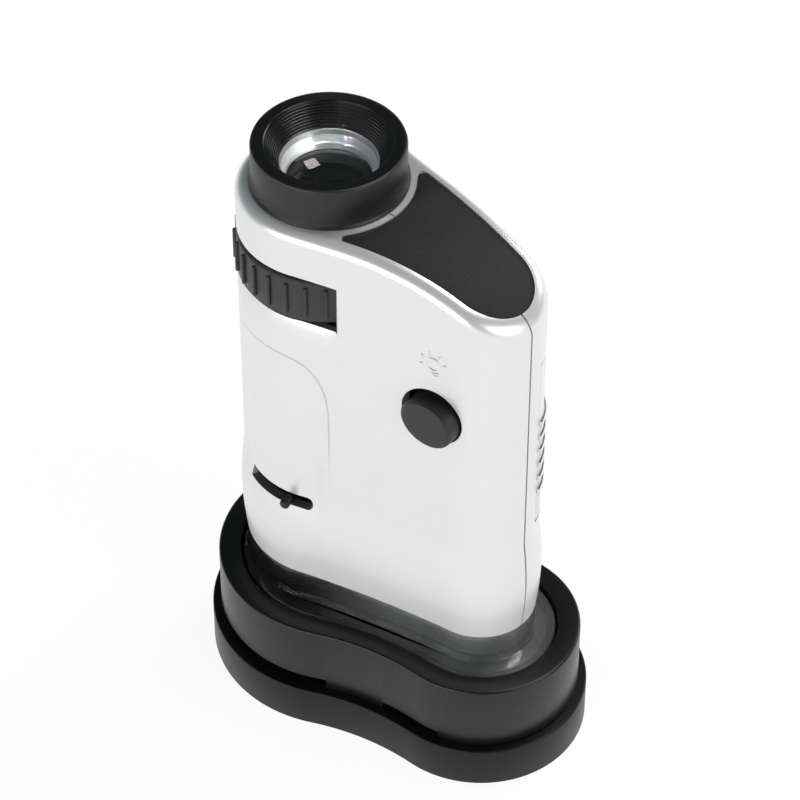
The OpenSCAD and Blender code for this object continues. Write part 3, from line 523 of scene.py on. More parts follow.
bpy.ops.object.select_all(action="DESELECT")
bpy.ops.mesh.primitive_plane_add(size=FLOOR_SIZE)
floor = bpy.context.object
floor.name = "floor"
floor_paint, wire = start_finish("floor_paint")
path = wire.tree.nodes.new("ShaderNodeLightPath")
seen = (
    Wire(wire.tree, path.outputs["Is Camera Ray"])
    + Wire(wire.tree, path.outputs["Is Glossy Ray"])
    + Wire(wire.tree, path.outputs["Is Transmission Ray"])
)
matt = wire.node("ShaderNodeBsdfDiffuse", None, {"Color": (0.86, 0.86, 0.86, 1)})
glow = wire.node("ShaderNodeEmission", None, {"Color": (1, 1, 1, 1), "Strength": 1.08})
share = wire.math("MINIMUM", seen, 1.0) * FLOOR_GLOW
end_finish(wire, wire.node("ShaderNodeMixShader", None, {0: share, 1: matt, 2: glow}))
floor.data.materials.append(floor_paint)
print("floor of", FLOOR_SIZE, "m")

# %% [markdown]
# ## The room
# The room above is dim, so that faces that look up go dark while upright faces mirror the floor.
# Its light falls smoothly with the height of the view.

# %% Room
ROOM_LOW, ROOM_HIGH = 0.32, 0.10
ROOM_FROM, ROOM_TO = 0.05, 0.55

world = bpy.data.worlds.new("studio")
world.use_nodes = True
bpy.context.scene.world = world
world.node_tree.nodes.clear()
sky = Wire(world.node_tree)
gaze = sky.node("ShaderNodeTexCoord", None, None, "Generated")
climb = sky.node("ShaderNodeSeparateXYZ", None, {"Vector": gaze}, "Z")
shade = sky.node(
    "ShaderNodeMapRange",
    {"interpolation_type": "SMOOTHSTEP"},
    {
        "Value": climb,
        "From Min": ROOM_FROM,
        "From Max": ROOM_TO,
        "To Min": ROOM_LOW,
        "To Max": ROOM_HIGH,
    },
)
backdrop = sky.node(
    "ShaderNodeBackground", None, {"Color": (0.78, 0.92, 0.97, 1), "Strength": shade})
sky.node("ShaderNodeOutputWorld", None, {"Surface": backdrop})
print("room light from", ROOM_LOW, "to", ROOM_HIGH)

# %% [markdown]
# ## The lamps
# Soft boxes light the paint from the front, the right and the rear, and a small one hangs
# overhead. The ring in the eyepiece would lie in shade, so a lamp with a narrow beam shines into
# it.

# %% Lamps
MIDDLE = (0, 0, 0.06)
EYEPIECE = (AXIS_X, 0, 0.1)


def soft_box(name, stand, aim, size, watts, colour, spread=180):
    """A flat lamp that stands at one point in metres and faces another, with a beam in degrees."""
    data = bpy.data.lights.new(name, "AREA")
    data.shape = "RECTANGLE"
    data.size, data.size_y = size
    data.energy = watts
    data.spread = math.radians(spread)
    data.color = colour
    lamp = bpy.data.objects.new(name, data)
    bpy.context.scene.collection.objects.link(lamp)
    lamp.location = stand
    lamp.rotation_euler = (Vector(aim) - Vector(stand)).to_track_quat("-Z", "Y").to_euler()


soft_box("key", (-0.07, -1.06, 0.30), MIDDLE, (1.1, 0.5), 6, (1, 0.985, 0.965))
soft_box("fill", (1.0, 0.0, 0.45), MIDDLE, (0.8, 0.5), 4, (1, 0.97, 0.95))
soft_box("rear", (0.20, 1.0, 0.40), MIDDLE, (0.5, 0.35), 2.5, (0.97, 0.98, 1))
soft_box("overhead", (0.15, 0.41, 1.0), EYEPIECE, (0.32, 0.32), 3.5, (1, 0.93, 0.94))
soft_box(
    "snoot", (AXIS_X + 0.187, -0.277, 0.472), (AXIS_X - 0.0035, 0.0044, 0.103),
    (0.006, 0.012), 0.0009, (1, 1, 1), spread=1.4)
print("lamps:", len(bpy.data.lights))

# %% [markdown]
# ## Tools for modelling
# Four habits cover nearly all pieces. A line grows from one point by extruding it. An arc is that
# point spun about a centre, which draws an outline of two lobes exactly. A profile spun about an
# axis gives every round piece. A boolean with a plain cutter opens windows and holes.

# %% Points, lines and arcs
DOUBLES = 0.001


def place(x, y, z):
    """A point from millimetres about the optical axis."""
    return Vector((AXIS_X + x * MM, y * MM, z * MM))


AXIS_FOOT = place(0, 0, 0)


def begin(name, start):
    """A new object in edit mode that is a single selected point."""
    bpy.ops.object.select_all(action="DESELECT")
    bpy.ops.mesh.primitive_plane_add(size=MM)
    piece = bpy.context.object
    piece.name = piece.data.name = name
    bpy.ops.object.mode_set(mode="EDIT")
    bpy.ops.mesh.merge(type="CENTER")
    bpy.ops.transform.translate(value=start)
    return piece


def end_edit():
    bpy.ops.object.mode_set(mode="OBJECT")


def arc(centre, degrees, steps):
    """Carries the selected end of a line round a centre, anticlockwise seen from above."""
    bpy.ops.mesh.spin(
        steps=steps, angle=-math.radians(degrees), center=centre, axis=(0, 0, 1))


def merge_doubles():
    bpy.ops.mesh.select_all(action="SELECT")
    bpy.ops.mesh.remove_doubles(threshold=DOUBLES * MM)


def tidy_mesh():
    """Merges doubles and points all faces outwards."""
    merge_doubles()
    bpy.ops.mesh.normals_make_consistent(inside=False)


print("foot of the axis at", [round(c, 4) for c in AXIS_FOOT])

# %% [markdown]
# A profile is a list of points that are joined up in edit mode. Where it doesn't end on the axis it
# is closed first. One full spin makes the piece, and merging closes the seam.

# %% Turned pieces
SAME = 1e-7
NEAR = 0.01


def pick(piece):
    """Selects one object alone and makes it the active one."""
    bpy.ops.object.select_all(action="DESELECT")
    piece.select_set(True)
    bpy.context.view_layer.objects.active = piece


def select_points(piece, wanted):
    """Goes into edit mode with only the points that are wanted selected."""
    if bpy.context.mode == "EDIT_MESH":
        end_edit()
    pick(piece)
    bpy.ops.object.mode_set(mode="EDIT")
    bpy.ops.mesh.select_mode(type="VERT")
    bpy.ops.mesh.select_all(action="DESELECT")
    end_edit()
    for vertex in piece.data.vertices:
        vertex.select = bool(wanted(vertex.co))
    bpy.ops.object.mode_set(mode="EDIT")
    bpy.ops.mesh.select_mode(type="VERT")


def turned(name, profile, origin, axis=(0, 0, 1), side=(1, 0, 0), steps=128):
    """A profile of (radius, distance along the axis) in millimetres, spun about the axis."""
    axis, side = Vector(axis), Vector(side)
    spots = [origin + (axis * along + side * radius) * MM for radius, along in profile]
    first, last = spots[0], spots[-1]
    piece = begin(name, first)
    for before, after in zip(spots, spots[1:]):
        bpy.ops.mesh.extrude_vertices_move(TRANSFORM_OT_translate={"value": after - before})
    if profile[0][0] > 0 and profile[-1][0] > 0:
        select_points(piece, lambda co: min((co - first).length, (co - last).length) < SAME)
        bpy.ops.mesh.edge_face_add()
    bpy.ops.mesh.select_all(action="SELECT")
    bpy.ops.mesh.spin(steps=steps, angle=math.tau, center=origin, axis=axis)
    tidy_mesh()
    end_edit()
    return piece


def rod(radius, low, high):
    """The profile of a plain round bar."""
    return [(0, low), (radius, low), (radius, high), (0, high)]


print("profiles can be turned")

# %% [markdown]
# Modifiers are applied at once, so that each step leaves a plain mesh for the next. A finished
# piece has its sharp edges rounded and its curved faces smoothed, takes its finish, and is hung on
# the body that it moves with.

# %% Modifiers, cutters and finishing
def use_modifier(piece, kind, **settings):
    """Adds a modifier, sets it and applies it."""
    pick(piece)
    modifier = piece.modifiers.new(kind.lower(), kind)
    for name, value in settings.items():
        setattr(modifier, name, value)
    bpy.ops.object.modifier_apply(modifier=modifier.name)


def cut(piece, cutter, operation="DIFFERENCE"):
    """A boolean with a cutter, which is then deleted."""
    use_modifier(piece, "BOOLEAN", operation=operation, solver="EXACT", object=cutter)
    bpy.data.objects.remove(cutter)


def block(name, low, high):
    """A box between two corners in millimetres about the optical axis."""
    low, high = place(*low), place(*high)
    bpy.ops.object.select_all(action="DESELECT")
    bpy.ops.mesh.primitive_cube_add(size=1, location=(low + high) / 2)
    made = bpy.context.object
    made.name = name
    made.scale = high - low
    bpy.ops.object.transform_apply(location=True, rotation=True, scale=True)
    return made


def join(piece, others):
    pick(piece)
    for other in others:
        other.select_set(True)
    bpy.ops.object.join()


def dress(piece, material, body, nodes=(), edge=0.12, segments=2, angle=38):
    """Rounds sharp edges, smooths the rest, gives the finish and hangs the piece on its body."""
    if edge:
        use_modifier(
            piece, "BEVEL", width=edge * MM, segments=segments, limit_method="ANGLE",
            angle_limit=math.radians(angle), use_clamp_overlap=False, loop_slide=False)
    pick(piece)
    bpy.ops.object.shade_smooth_by_angle(angle=math.radians(angle))
    piece.data.materials.clear()
    piece.data.materials.append(material)
    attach(piece, body)
    if nodes:
        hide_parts(*nodes)
    print(piece.name, "on", body, "faces", len(piece.data.polygons))


print("pieces can be cut, joined and dressed")

# %% [markdown]
# ## Outlines of two lobes
# Body and base share one kind of outline: two circles joined by a hollow arc on either side. From
# the radii and the distance between the circles follow the points where the arcs touch, so five
# spins draw the closed line. Growing the outline only changes the radii.

# %% Two-lobed outlines
BODY = {"big": 14.5, "small": 9.1, "gap": 30.4, "waist": 195, "x": 0}
BASE = {"big": 22.8, "small": 17.65, "gap": 28.2, "waist": 42.5, "x": 2.6}
FINE = (72, 24, 72)
PLAIN = (48, 16, 48)


def waist_centre(lobes):
    """Centre of the hollow arc on one side, from the centre of the large lobe."""
    to_big = lobes["big"] + lobes["waist"]
    to_small = lobes["small"] + lobes["waist"]
    x = (to_big**2 - to_small**2 + lobes["gap"] ** 2) / (2 * lobes["gap"])
    return x, math.sqrt(to_big**2 - x**2)


def outline(name, lobes, grow, z, steps=FINE):
    """A closed line of two lobes at a height, all selected, in edit mode."""
    x, y = waist_centre(lobes)
    near = math.degrees(math.atan2(y, x))
    far = math.degrees(math.atan2(y, x - lobes["gap"]))
    bow = math.degrees(math.atan2(y, lobes["gap"] - x) - math.atan2(y, -x))
    big = place(lobes["x"], 0, z)
    small = place(lobes["x"] + lobes["gap"], 0, z)
    big_steps, waist_steps, small_steps = steps
    line = begin(name, place(lobes["x"] - lobes["big"] - grow, 0, z))
    arc(big, 180 - near, big_steps)
    arc(place(lobes["x"] + x, -y, z), bow, waist_steps)
    arc(small, 2 * far, small_steps)
    arc(place(lobes["x"] + x, y, z), bow, waist_steps)
    arc(big, 180 - near, big_steps)
    merge_doubles()
    return line


def raise_line(height):
    bpy.ops.mesh.extrude_region_move(TRANSFORM_OT_translate={"value": (0, 0, height * MM)})


def lobed_block(name, lobes, grow, low, high, steps=FINE):
    """A closed prism of an outline."""
    piece = outline(name, lobes, grow, low, steps)
    bpy.ops.mesh.edge_face_add()
    raise_line(high - low)
    tidy_mesh()
    end_edit()
    return piece


print("waist centre of the body in mm:", [round(c, 2) for c in waist_centre(BODY)])

# %% [markdown]
# ## The base
# The base is two mouldings: a hollow plate that stands on the table, and a collar on it with a
# deep recess for the microscope. Both start as the same outline. The plate's top edge is rolled
# over with a bevel, and its underside is inset and pushed up to leave a wall. Three bosses inside
# the wall take the screws.

# %% Base plate
PLATE_H = 7.8
PLATE_WALL = 2.0
PLATE_ROLL = 0.3
LEDGE = 1.42
SCREW_INSET = 1.85
SCREW_ANGLE = math.radians(60)
SCREW_BOSS = [(2.2, 1.2), (2.9, 1.2), (2.9, 6.0), (1.15, 6.0), (1.15, 2.8), (2.2, 2.8)]

foot_plate = outline("foot_plate", BASE, 0, 0)
raise_line(PLATE_H)
bpy.ops.mesh.edge_face_add()
tidy_mesh()
select_points(foot_plate, lambda co: co.z > (PLATE_H - NEAR) * MM)
bpy.ops.mesh.bevel(offset=PLATE_ROLL * MM, segments=5, profile=0.5, affect="EDGES")
select_points(foot_plate, lambda co: co.z < NEAR * MM)
bpy.ops.mesh.edge_face_add()
bpy.ops.mesh.inset(thickness=PLATE_WALL * MM)
raise_line(PLATE_H - PLATE_WALL)
tidy_mesh()
end_edit()

lone = place(BASE["x"] - BASE["big"] + LEDGE + SCREW_INSET, 0, 0)
pair_r = BASE["small"] - LEDGE - SCREW_INSET
pair_x = BASE["x"] + BASE["gap"] + pair_r * math.cos(SCREW_ANGLE)
pair_y = pair_r * math.sin(SCREW_ANGLE)
bosses = [
    turned(f"boss_{i}", SCREW_BOSS, spot, steps=32)
    for i, spot in enumerate([lone, place(pair_x, pair_y, 0), place(pair_x, -pair_y, 0)])
]
join(foot_plate, bosses)
dress(foot_plate, plate_black, "base_body", ["base_plate"], edge=0.25, segments=3)

# %% [markdown]
# The collar is set in by a narrow ledge, which shows as a dark line all round. Its rim is flat and
# wide. Below it, a slot for the glass slide runs right through, and a shallow finger notch is cut
# into the front of the small lobe.

# %% Base collar
RIM_Z = 20.6
RIM_W = 3.7
SEAT_Z = 11.0
RIM_ROLL = 0.45
SLIDE_W = 26.4
SLIDE_H = 2.1
SLIDE_REACH = 50
VIEW_R = 10
VIEW_Z = (5, 15)
NOTCH = ((23.2, -40, PLATE_H - 1), (34.2, -12, PLATE_H + 1.6))
NOTCH_DEPTH = 2

foot_collar = outline("foot_collar", BASE, -LEDGE, PLATE_H)
raise_line(RIM_Z - PLATE_H)
bpy.ops.mesh.edge_face_add()
tidy_mesh()
select_points(foot_collar, lambda co: co.z < (PLATE_H + NEAR) * MM)
bpy.ops.mesh.edge_face_add()
select_points(foot_collar, lambda co: co.z > (RIM_Z - NEAR) * MM)
bpy.ops.mesh.inset(thickness=RIM_W * MM)
raise_line(SEAT_Z - RIM_Z)
tidy_mesh()
end_edit()
use_modifier(
    foot_collar, "BEVEL", width=RIM_ROLL * MM, segments=4, limit_method="ANGLE",
    angle_limit=math.radians(60), use_clamp_overlap=False)
cut(foot_collar, turned("view_hole", rod(VIEW_R, *VIEW_Z), AXIS_FOOT))
slide_slot = block(
    "slide_slot", (-SLIDE_W / 2, -SLIDE_REACH, PLATE_H - 1),
    (SLIDE_W / 2, SLIDE_REACH, PLATE_H + SLIDE_H))
cut(foot_collar, slide_slot)
notch = block("finger_notch", *NOTCH)
notch_core = lobed_block(
    "notch_core", BASE, -LEDGE - NOTCH_DEPTH, PLATE_H - 2, PLATE_H + 3, PLAIN)
cut(notch, notch_core)
cut(foot_collar, notch)
dress(foot_collar, base_black, "base_body", ["base_collar"], edge=0, angle=40)

# %% [markdown]
# ## The painted shells
# The body starts as one closed block: the outline, drawn up in rings to a flat top whose edge is
# rolled over with a bevel. Its skin has soft forms, which are given as depths: a swell above the
# foot, a thumb scoop over the focus slit, and a slope that leads up to the zoom window. The top
# falls along an arc towards the small lobe.

# %% Forms of the body
FOOT_Z = 25.85
TOP_Z = 98.75
TOP_FLAT_X = 12.9
TOP_ARC = 50
SWELL = 0.7
SWELL_Z = 35
SLIT_Z = 41.9
SCOOP_DEPTH = 0.85
SCOOP_FLOOR = 0.72
SCOOP_TOP_SHARE = 0.3
SCOOP_FADE_Z = (SLIT_Z - 5, SLIT_Z + 2)
SCOOP_DEEP_Z = SLIT_Z + 3
ZOOM_LOW, ZOOM_HIGH = 81.2, 90.6
WINDOW_END = 47.5
LIP_Z = 79.6
LIP_IN = 0.7
LIP_MARGIN = 0.1


def smooth(low, high, value):
    """Rises from 0 to 1 between low and high, with no corners."""
    t = min(max((value - low) / (high - low), 0), 1)
    return t * t * (3 - 2 * t)


def top_fall(x):
    """How far the falling top lies below its flat part, in millimetres."""
    return 0 if x < TOP_FLAT_X else TOP_ARC - math.sqrt(TOP_ARC**2 - (x - TOP_FLAT_X) ** 2)


def swell_height(z):
    """Height of the swell above the foot."""
    share = (z - FOOT_Z) / (2 * (SWELL_Z - FOOT_Z))
    return SWELL * math.sin(math.pi * share) if 0 < share < 1 else 0


def scoop_depth(x, y, z):
    """Depth of the thumb scoop, whose upper end is a squarish arch."""
    across = abs((math.degrees(math.atan2(y, x)) - SCOOP_ANGLE + 180) % 360 - 180) / SCOOP_HALF
    along = max(z - SCOOP_SHOULDER_Z, 0) / SCOOP_RISE
    arch = (across**SCOOP_POWER + along**SCOOP_POWER) ** (1 / SCOOP_POWER)
    fade = smooth(*SCOOP_FADE_Z, z)
    descent = smooth(SCOOP_SHOULDER_Z + SCOOP_RISE, SCOOP_DEEP_Z, z)
    deepen = SCOOP_TOP_SHARE + (1 - SCOOP_TOP_SHARE) * descent
    return SCOOP_DEPTH * smooth(1, SCOOP_FLOOR, arch) * deepen * fade


def lip_depth(x, y, z):
    """Depth of the slope that leads up to the zoom window."""
    beside = abs(math.degrees(math.atan2(y, x))) > WINDOW_END
    if beside and LIP_Z < z < ZOOM_LOW + 2 * LIP_MARGIN:
        return LIP_IN * (z - LIP_Z) / (ZOOM_LOW - LIP_Z)
    return 0


print("the top falls by", round(top_fall(BODY["gap"] + BODY["small"]), 2), "mm")

# %% [markdown]
# The rings of the skin lie close together where the forms are. Each point below the rolled edge is
# then moved along its normal, level with the table, by the sum of the forms.

# %% Skin of the body
TOP_ROLL = 2.05
FOOT_RINGS, FOOT_STEP = 16, 1.1
SCOOP_RINGS, SCOOP_RINGS_Z = 32, 44.5
UPPER_RINGS = [82.5, 88]


def raise_levels(low, levels):
    """Draws a line up from a height through a list of heights."""
    for below, above in zip([low, *levels], levels):
        raise_line(above - below)


rings = [FOOT_Z + FOOT_STEP * i for i in range(1, FOOT_RINGS + 1)]
rings += [SCOOP_RINGS_Z + i for i in range(SCOOP_RINGS)]
rings += [LIP_Z, ZOOM_LOW + LIP_MARGIN, *UPPER_RINGS, TOP_Z]
body_skin = outline("body_skin", BODY, 0, FOOT_Z)
raise_levels(FOOT_Z, rings)
bpy.ops.mesh.edge_face_add()
tidy_mesh()
select_points(body_skin, lambda co: co.z > (TOP_Z - NEAR) * MM)
bpy.ops.mesh.bevel(offset=TOP_ROLL * MM, segments=8, profile=0.5, affect="EDGES")
select_points(body_skin, lambda co: co.z < (FOOT_Z + NEAR) * MM)
bpy.ops.mesh.edge_face_add()
tidy_mesh()
end_edit()
for vertex in body_skin.data.vertices:
    x, y, z = (vertex.co.x - AXIS_X) / MM, vertex.co.y / MM, vertex.co.z / MM
    if z < TOP_Z - 2 * TOP_ROLL:
        normal = vertex.normal.copy()
        normal.z = 0
        rise = swell_height(z) - scoop_depth(x, y, z) - lip_depth(x, y, z)
        vertex.co += normal.normalized() * rise * MM
print("body skin:", len(body_skin.data.polygons), "faces")

# %% [markdown]
# A smaller lobed block, taken out of the body, leaves a wall. Cuts need flat faces, so the top
# stays flat until the last cut and is let down along its arc afterwards. For that it is sliced into
# strips now, while it is plain.

# %% Wall and strips
WALL = 1.8
LABEL_RING_R = 13.4
STRIP = 1.3
STRIP_FROM = LABEL_RING_R + 0.2
FALL_FROM = TOP_Z - TOP_ROLL - WALL


def slice_strips(piece, above):
    """Cuts what lies above a height into strips across the falling part of the top."""
    x = STRIP_FROM
    while x < BODY["gap"] + BODY["small"]:
        select_points(piece, lambda co: co.z > above * MM)
        bpy.ops.mesh.bisect(plane_co=place(x, 0, 0), plane_no=(1, 0, 0))
        x += STRIP
    end_edit()


def let_down(piece):
    """Lowers the top of a piece along the arc."""
    for vertex in piece.data.vertices:
        if vertex.co.z > FALL_FROM * MM:
            vertex.co.z -= top_fall((vertex.co.x - AXIS_X) / MM) * MM


slice_strips(body_skin, TOP_Z - NEAR)
cut(body_skin, lobed_block("body_room", BODY, -WALL, FOOT_Z - 5, TOP_Z - WALL))
print("wall:", len(body_skin.data.polygons), "faces")

# %% [markdown]
# The label lies in a shallow recess whose inner end follows a ring around the eyecup. Its shape is
# six arcs: two rounded tips beside the eyecup, two waists, the small lobe and the ring. A round
# hole beside it lets the eyecup's neck through.

# %% Label recess and neck hole
LABEL_INSET = 2.1
LABEL_T = 0.5
LABEL_GAP = 0.04
TIP_R = 0.9
TIP_STEPS, RING_STEPS = 8, 48
NECK_R = 11.53
NECK_Z = (90, 110)


def meet(first, x, y, second):
    """The point at one distance from the axis and at another from (x, y), on the near side."""
    apart = math.hypot(x, y)
    along = (first**2 - second**2 + apart**2) / (2 * apart)
    aside = math.sqrt(first**2 - along**2)
    return (along * x + aside * y) / apart, (along * y - aside * x) / apart


def label_blank(name, grow, low, high):
    """The flat label shape between two heights, with rounded tips beside the eyecup."""
    wx, wy = waist_centre(BODY)
    ring_r = LABEL_RING_R - grow
    waist_r = BODY["waist"] + LABEL_INSET - grow
    tip_x, tip_y = meet(ring_r + TIP_R, wx, wy, waist_r + TIP_R)
    half = math.degrees(math.atan2(tip_y, tip_x))
    to_waist = math.degrees(math.atan2(tip_y - wy, wx - tip_x))
    nose = (to_waist - (180 - half)) % 360
    far = math.degrees(math.atan2(wy, wx - BODY["gap"]))
    bow = math.degrees(math.atan2(wy, BODY["gap"] - wx) - math.atan2(wy - tip_y, tip_x - wx))
    start = math.radians(-half)
    _, waist_steps, small_steps = FINE
    blank = begin(name, place(ring_r * math.cos(start), ring_r * math.sin(start), low))
    arc(place(tip_x, -tip_y, low), nose, TIP_STEPS)
    arc(place(wx, -wy, low), bow, waist_steps)
    arc(place(BODY["gap"], 0, low), 2 * far, small_steps)
    arc(place(wx, wy, low), bow, waist_steps)
    arc(place(tip_x, tip_y, low), nose, TIP_STEPS)
    arc(place(0, 0, low), -2 * half, RING_STEPS)
    merge_doubles()
    bpy.ops.mesh.edge_face_add()
    raise_line(high - low)
    tidy_mesh()
    end_edit()
    slice_strips(blank, low - 1)
    return blank


cut(body_skin, label_blank("label_recess", LABEL_GAP, TOP_Z - LABEL_T - LABEL_GAP, TOP_Z + 3))
cut(body_skin, turned("neck_hole", rod(NECK_R, *NECK_Z), AXIS_FOOT))
print("wall with recess:", len(body_skin.data.polygons), "faces")

# %% [markdown]
# The zoom ring looks out of a window that runs round the large lobe and ends square on both sides.
# A pie-shaped cutter makes it. The wall is then copied, and each copy loses one side of a narrow
# parting gap, which gives a front and a rear shell.

# %% Zoom window and two halves
ROUND_STEPS = 64
WINDOW_IN_R = 2
SEAM_Y = -0.9
SEAM_GAP = 0.3
FAR = 60


def pie(name, from_angle, to_angle, inner, outer, low, high):
    """A sector of a ring between two angles, two radii and two heights, as a cutter."""
    start = math.radians(from_angle)
    piece = begin(name, place(inner * math.cos(start), inner * math.sin(start), low))
    step = Vector((math.cos(start), math.sin(start), 0)) * (outer - inner) * MM
    bpy.ops.mesh.extrude_vertices_move(TRANSFORM_OT_translate={"value": step})
    bpy.ops.mesh.select_all(action="SELECT")
    raise_line(high - low)
    bpy.ops.mesh.select_all(action="SELECT")
    arc(AXIS_FOOT, to_angle - from_angle, ROUND_STEPS)
    tidy_mesh()
    bpy.ops.mesh.select_all(action="DESELECT")
    bpy.ops.mesh.select_non_manifold()
    bpy.ops.mesh.fill_holes(sides=8)
    tidy_mesh()
    end_edit()
    return piece


window = pie(
    "zoom_window", WINDOW_END, 360 - WINDOW_END, WINDOW_IN_R, FAR, ZOOM_LOW, ZOOM_HIGH)
cut(body_skin, window)
shell_front = body_skin
pick(shell_front)
bpy.ops.object.duplicate()
shell_rear = bpy.context.object
shell_front.name = shell_front.data.name = "shell_front"
shell_rear.name = shell_rear.data.name = "shell_rear"
cut(shell_front, block("rear_room", (-FAR, SEAM_Y - SEAM_GAP / 2, 0), (FAR, FAR, 2 * FAR)))
cut(shell_rear, block("front_room", (-FAR, -FAR, 0), (FAR, SEAM_Y + SEAM_GAP / 2, 2 * FAR)))
print("halves:", [len(shell.data.polygons) for shell in (shell_front, shell_rear)], "faces")

# %% [markdown]
# The focus slit is a slice of a ring, square at its left end and rounded at its right. The lamp
# button has a round hole, the battery door takes a corner out of the rear half, and three wells
# lead to the screws. After the last cut the top is let down.

# %% Slit, holes and wells
SLIT_H = 2.2
SLIT_FROM, SLIT_TO = -118, -64
SLIT_R = (11, 20)
BUTTON_X, BUTTON_Z = 27.4, 71.9
BUTTON_HOLE_R = 5.25
BUTTON_HOLE_Y = (-FAR, -4)
DOOR_ROOM = ((23, 2, 47), (60, 30, 81))
SHELL_SCREWS = [(19.6, 86), (18.9, 57), (20.5, 40)]
SCREW_WELL_R = 2.2
SCREW_WELL_Y = (5, FAR)


def bore(name, x, z, radius, span_y):
    """A round cutter along Y."""
    return turned(name, rod(radius, *span_y), place(x, 0, z), axis=(0, 1, 0), steps=ROUND_STEPS)


slit_low, slit_high = SLIT_Z - SLIT_H / 2, SLIT_Z + SLIT_H / 2
slit_end = SLIT_TO - math.degrees(SLIT_H / 2 / BODY["big"])
cut(shell_front, pie("focus_slit", SLIT_FROM, slit_end, *SLIT_R, slit_low, slit_high))
slit_aim = (math.cos(math.radians(slit_end)), math.sin(math.radians(slit_end)), 0)
slit_bar = rod(SLIT_H / 2 - NEAR, *SLIT_R)
cut(shell_front, turned("slit_end", slit_bar, place(0, 0, SLIT_Z), slit_aim, (0, 0, 1), 32))
cut(shell_front, bore("button_hole", BUTTON_X, BUTTON_Z, BUTTON_HOLE_R, BUTTON_HOLE_Y))
cut(shell_rear, block("door_room", *DOOR_ROOM))
for i, (x, z) in enumerate(SHELL_SCREWS):
    cut(shell_rear, bore(f"screw_well_{i}", x, z, SCREW_WELL_R, SCREW_WELL_Y))
for shell, node in [(shell_front, "front_shell"), (shell_rear, "rear_shell")]:
    let_down(shell)
    dress(shell, silver_paint, "scope_body", [node], edge=0, angle=40)

# %% [markdown]
# ## The label
# The label is cut from film, so its edge is crisp. It is the recess's own shape, a hair smaller,
# and falls along the same arc.

# %% Label
LABEL_DROP = 0.2

label_inlay = label_blank("label_inlay", -LABEL_GAP, TOP_Z - LABEL_T, TOP_Z - LABEL_DROP)
let_down(label_inlay)
dress(label_inlay, label_film, "scope_body", ["label_plate"], edge=0.08)

# %% [markdown]
# ## The eyepiece
# The eyecup is a turned piece: a rim with crisp edges, a funnel with fine steps that kill stray
# light, and a neck that clips over the tube. The profile runs down the funnel, round the neck and
# up the outside.

# %% Eyecup
CUP_R = 12.0
CUP_TOP = 106.0
FUNNEL_R, THROAT_R = 9.8, 7.7
FUNNEL_H = 3.65
FUNNEL_STEPS = 9
TUBE_R = 10.0
RING_ROOM_R = 8.93
SHELF_Z = 95.98
CLIP_R = 11.38
CLIP_Z = 93.45

step_h = FUNNEL_H / FUNNEL_STEPS
step_w = (FUNNEL_R - THROAT_R) / FUNNEL_STEPS
funnel = []
for i in range(FUNNEL_STEPS):
    funnel.append((FUNNEL_R - i * step_w, CUP_TOP - i * step_h - (0.15 if i == 0 else 0)))
    funnel.append((FUNNEL_R - i * step_w - 0.03, CUP_TOP - (i + 1) * step_h))
cup_profile = funnel + [
    (THROAT_R + 0.03, CUP_TOP - FUNNEL_H - 0.05),
    (THROAT_R + 0.03, TOP_Z + 0.15),
    (RING_ROOM_R, TOP_Z + 0.15),
    (RING_ROOM_R, SHELF_Z),
    (TUBE_R + 0.03, SHELF_Z),
    (TUBE_R + 0.03, CLIP_Z),
    (CLIP_R, CLIP_Z),
    (CLIP_R, TOP_Z),
    (CUP_R + 0.45, TOP_Z + 0.02),
    (CUP_R + 0.45, TOP_Z + 0.3),
    (CUP_R + 0.18, TOP_Z + 0.6),
    (CUP_R + 0.06, TOP_Z + 1.6),
    (CUP_R, TOP_Z + 3.2),
    (CUP_R, CUP_TOP - 0.45),
    (CUP_R - 0.12, CUP_TOP - 0.12),
    (CUP_R - 0.45, CUP_TOP),
    (FUNNEL_R + 0.15, CUP_TOP),
]
eyecup_moulding = turned("eyecup_moulding", cup_profile, AXIS_FOOT, steps=160)
dress(
    eyecup_moulding, cup_black, "scope_body", ["eyecup"],
    edge=0.05, segments=2, angle=24)

# %% [markdown]
# The ring below the eyecup is milky plastic with a steep upper wall and a sloping lip. The eye lens
# lies under that lip, and bulges on both faces.

# %% Ring and lens
RING_PROFILE = [
    (6.95, 96.01), (8.9, 96.01), (8.9, TOP_Z + 0.12), (7.65, TOP_Z + 0.12), (7.65, 102.15),
    (7.5, 102.22), (7.42, 101.25), (7.34, 101.18), (6.95, 100.05), (6.82, 100.02),
    (6.8, 99.85), (6.6, 99.1), (6.6, 98.95), (6.95, 98.95),
]
EYE_LENS = {"radius": 6.9, "edge": 1.2, "sag": 0.9, "middle": 98.2}


def lens_profile(radius, edge, sag, middle, rings=12):
    """Half of a lens section: out along its front face, then back along its rear face."""
    shares = [i / rings for i in range(rings + 1)]
    front = [(radius * t, middle + edge / 2 + sag * (1 - t**2)) for t in shares]
    rear = [(r, 2 * middle - z) for r, z in reversed(front)]
    return front + rear


eye_ring = turned("eye_ring", RING_PROFILE, AXIS_FOOT, steps=128)
dress(eye_ring, frosted_ring, "scope_body", ["eye_lens_ring"], edge=0.06, angle=24)
eye_glass = turned("eye_glass", lens_profile(**EYE_LENS), AXIS_FOOT, steps=96)
dress(eye_glass, lens_glass, "scope_body", ["eye_lens"], edge=0.05, angle=40)

# %% [markdown]
# ## The zoom ring
# The ring is a turned drum with a web and a hub. Its finger ribs are narrow bars with rounded
# ends. One bar is modelled, and copies of it are turned about the optical axis.

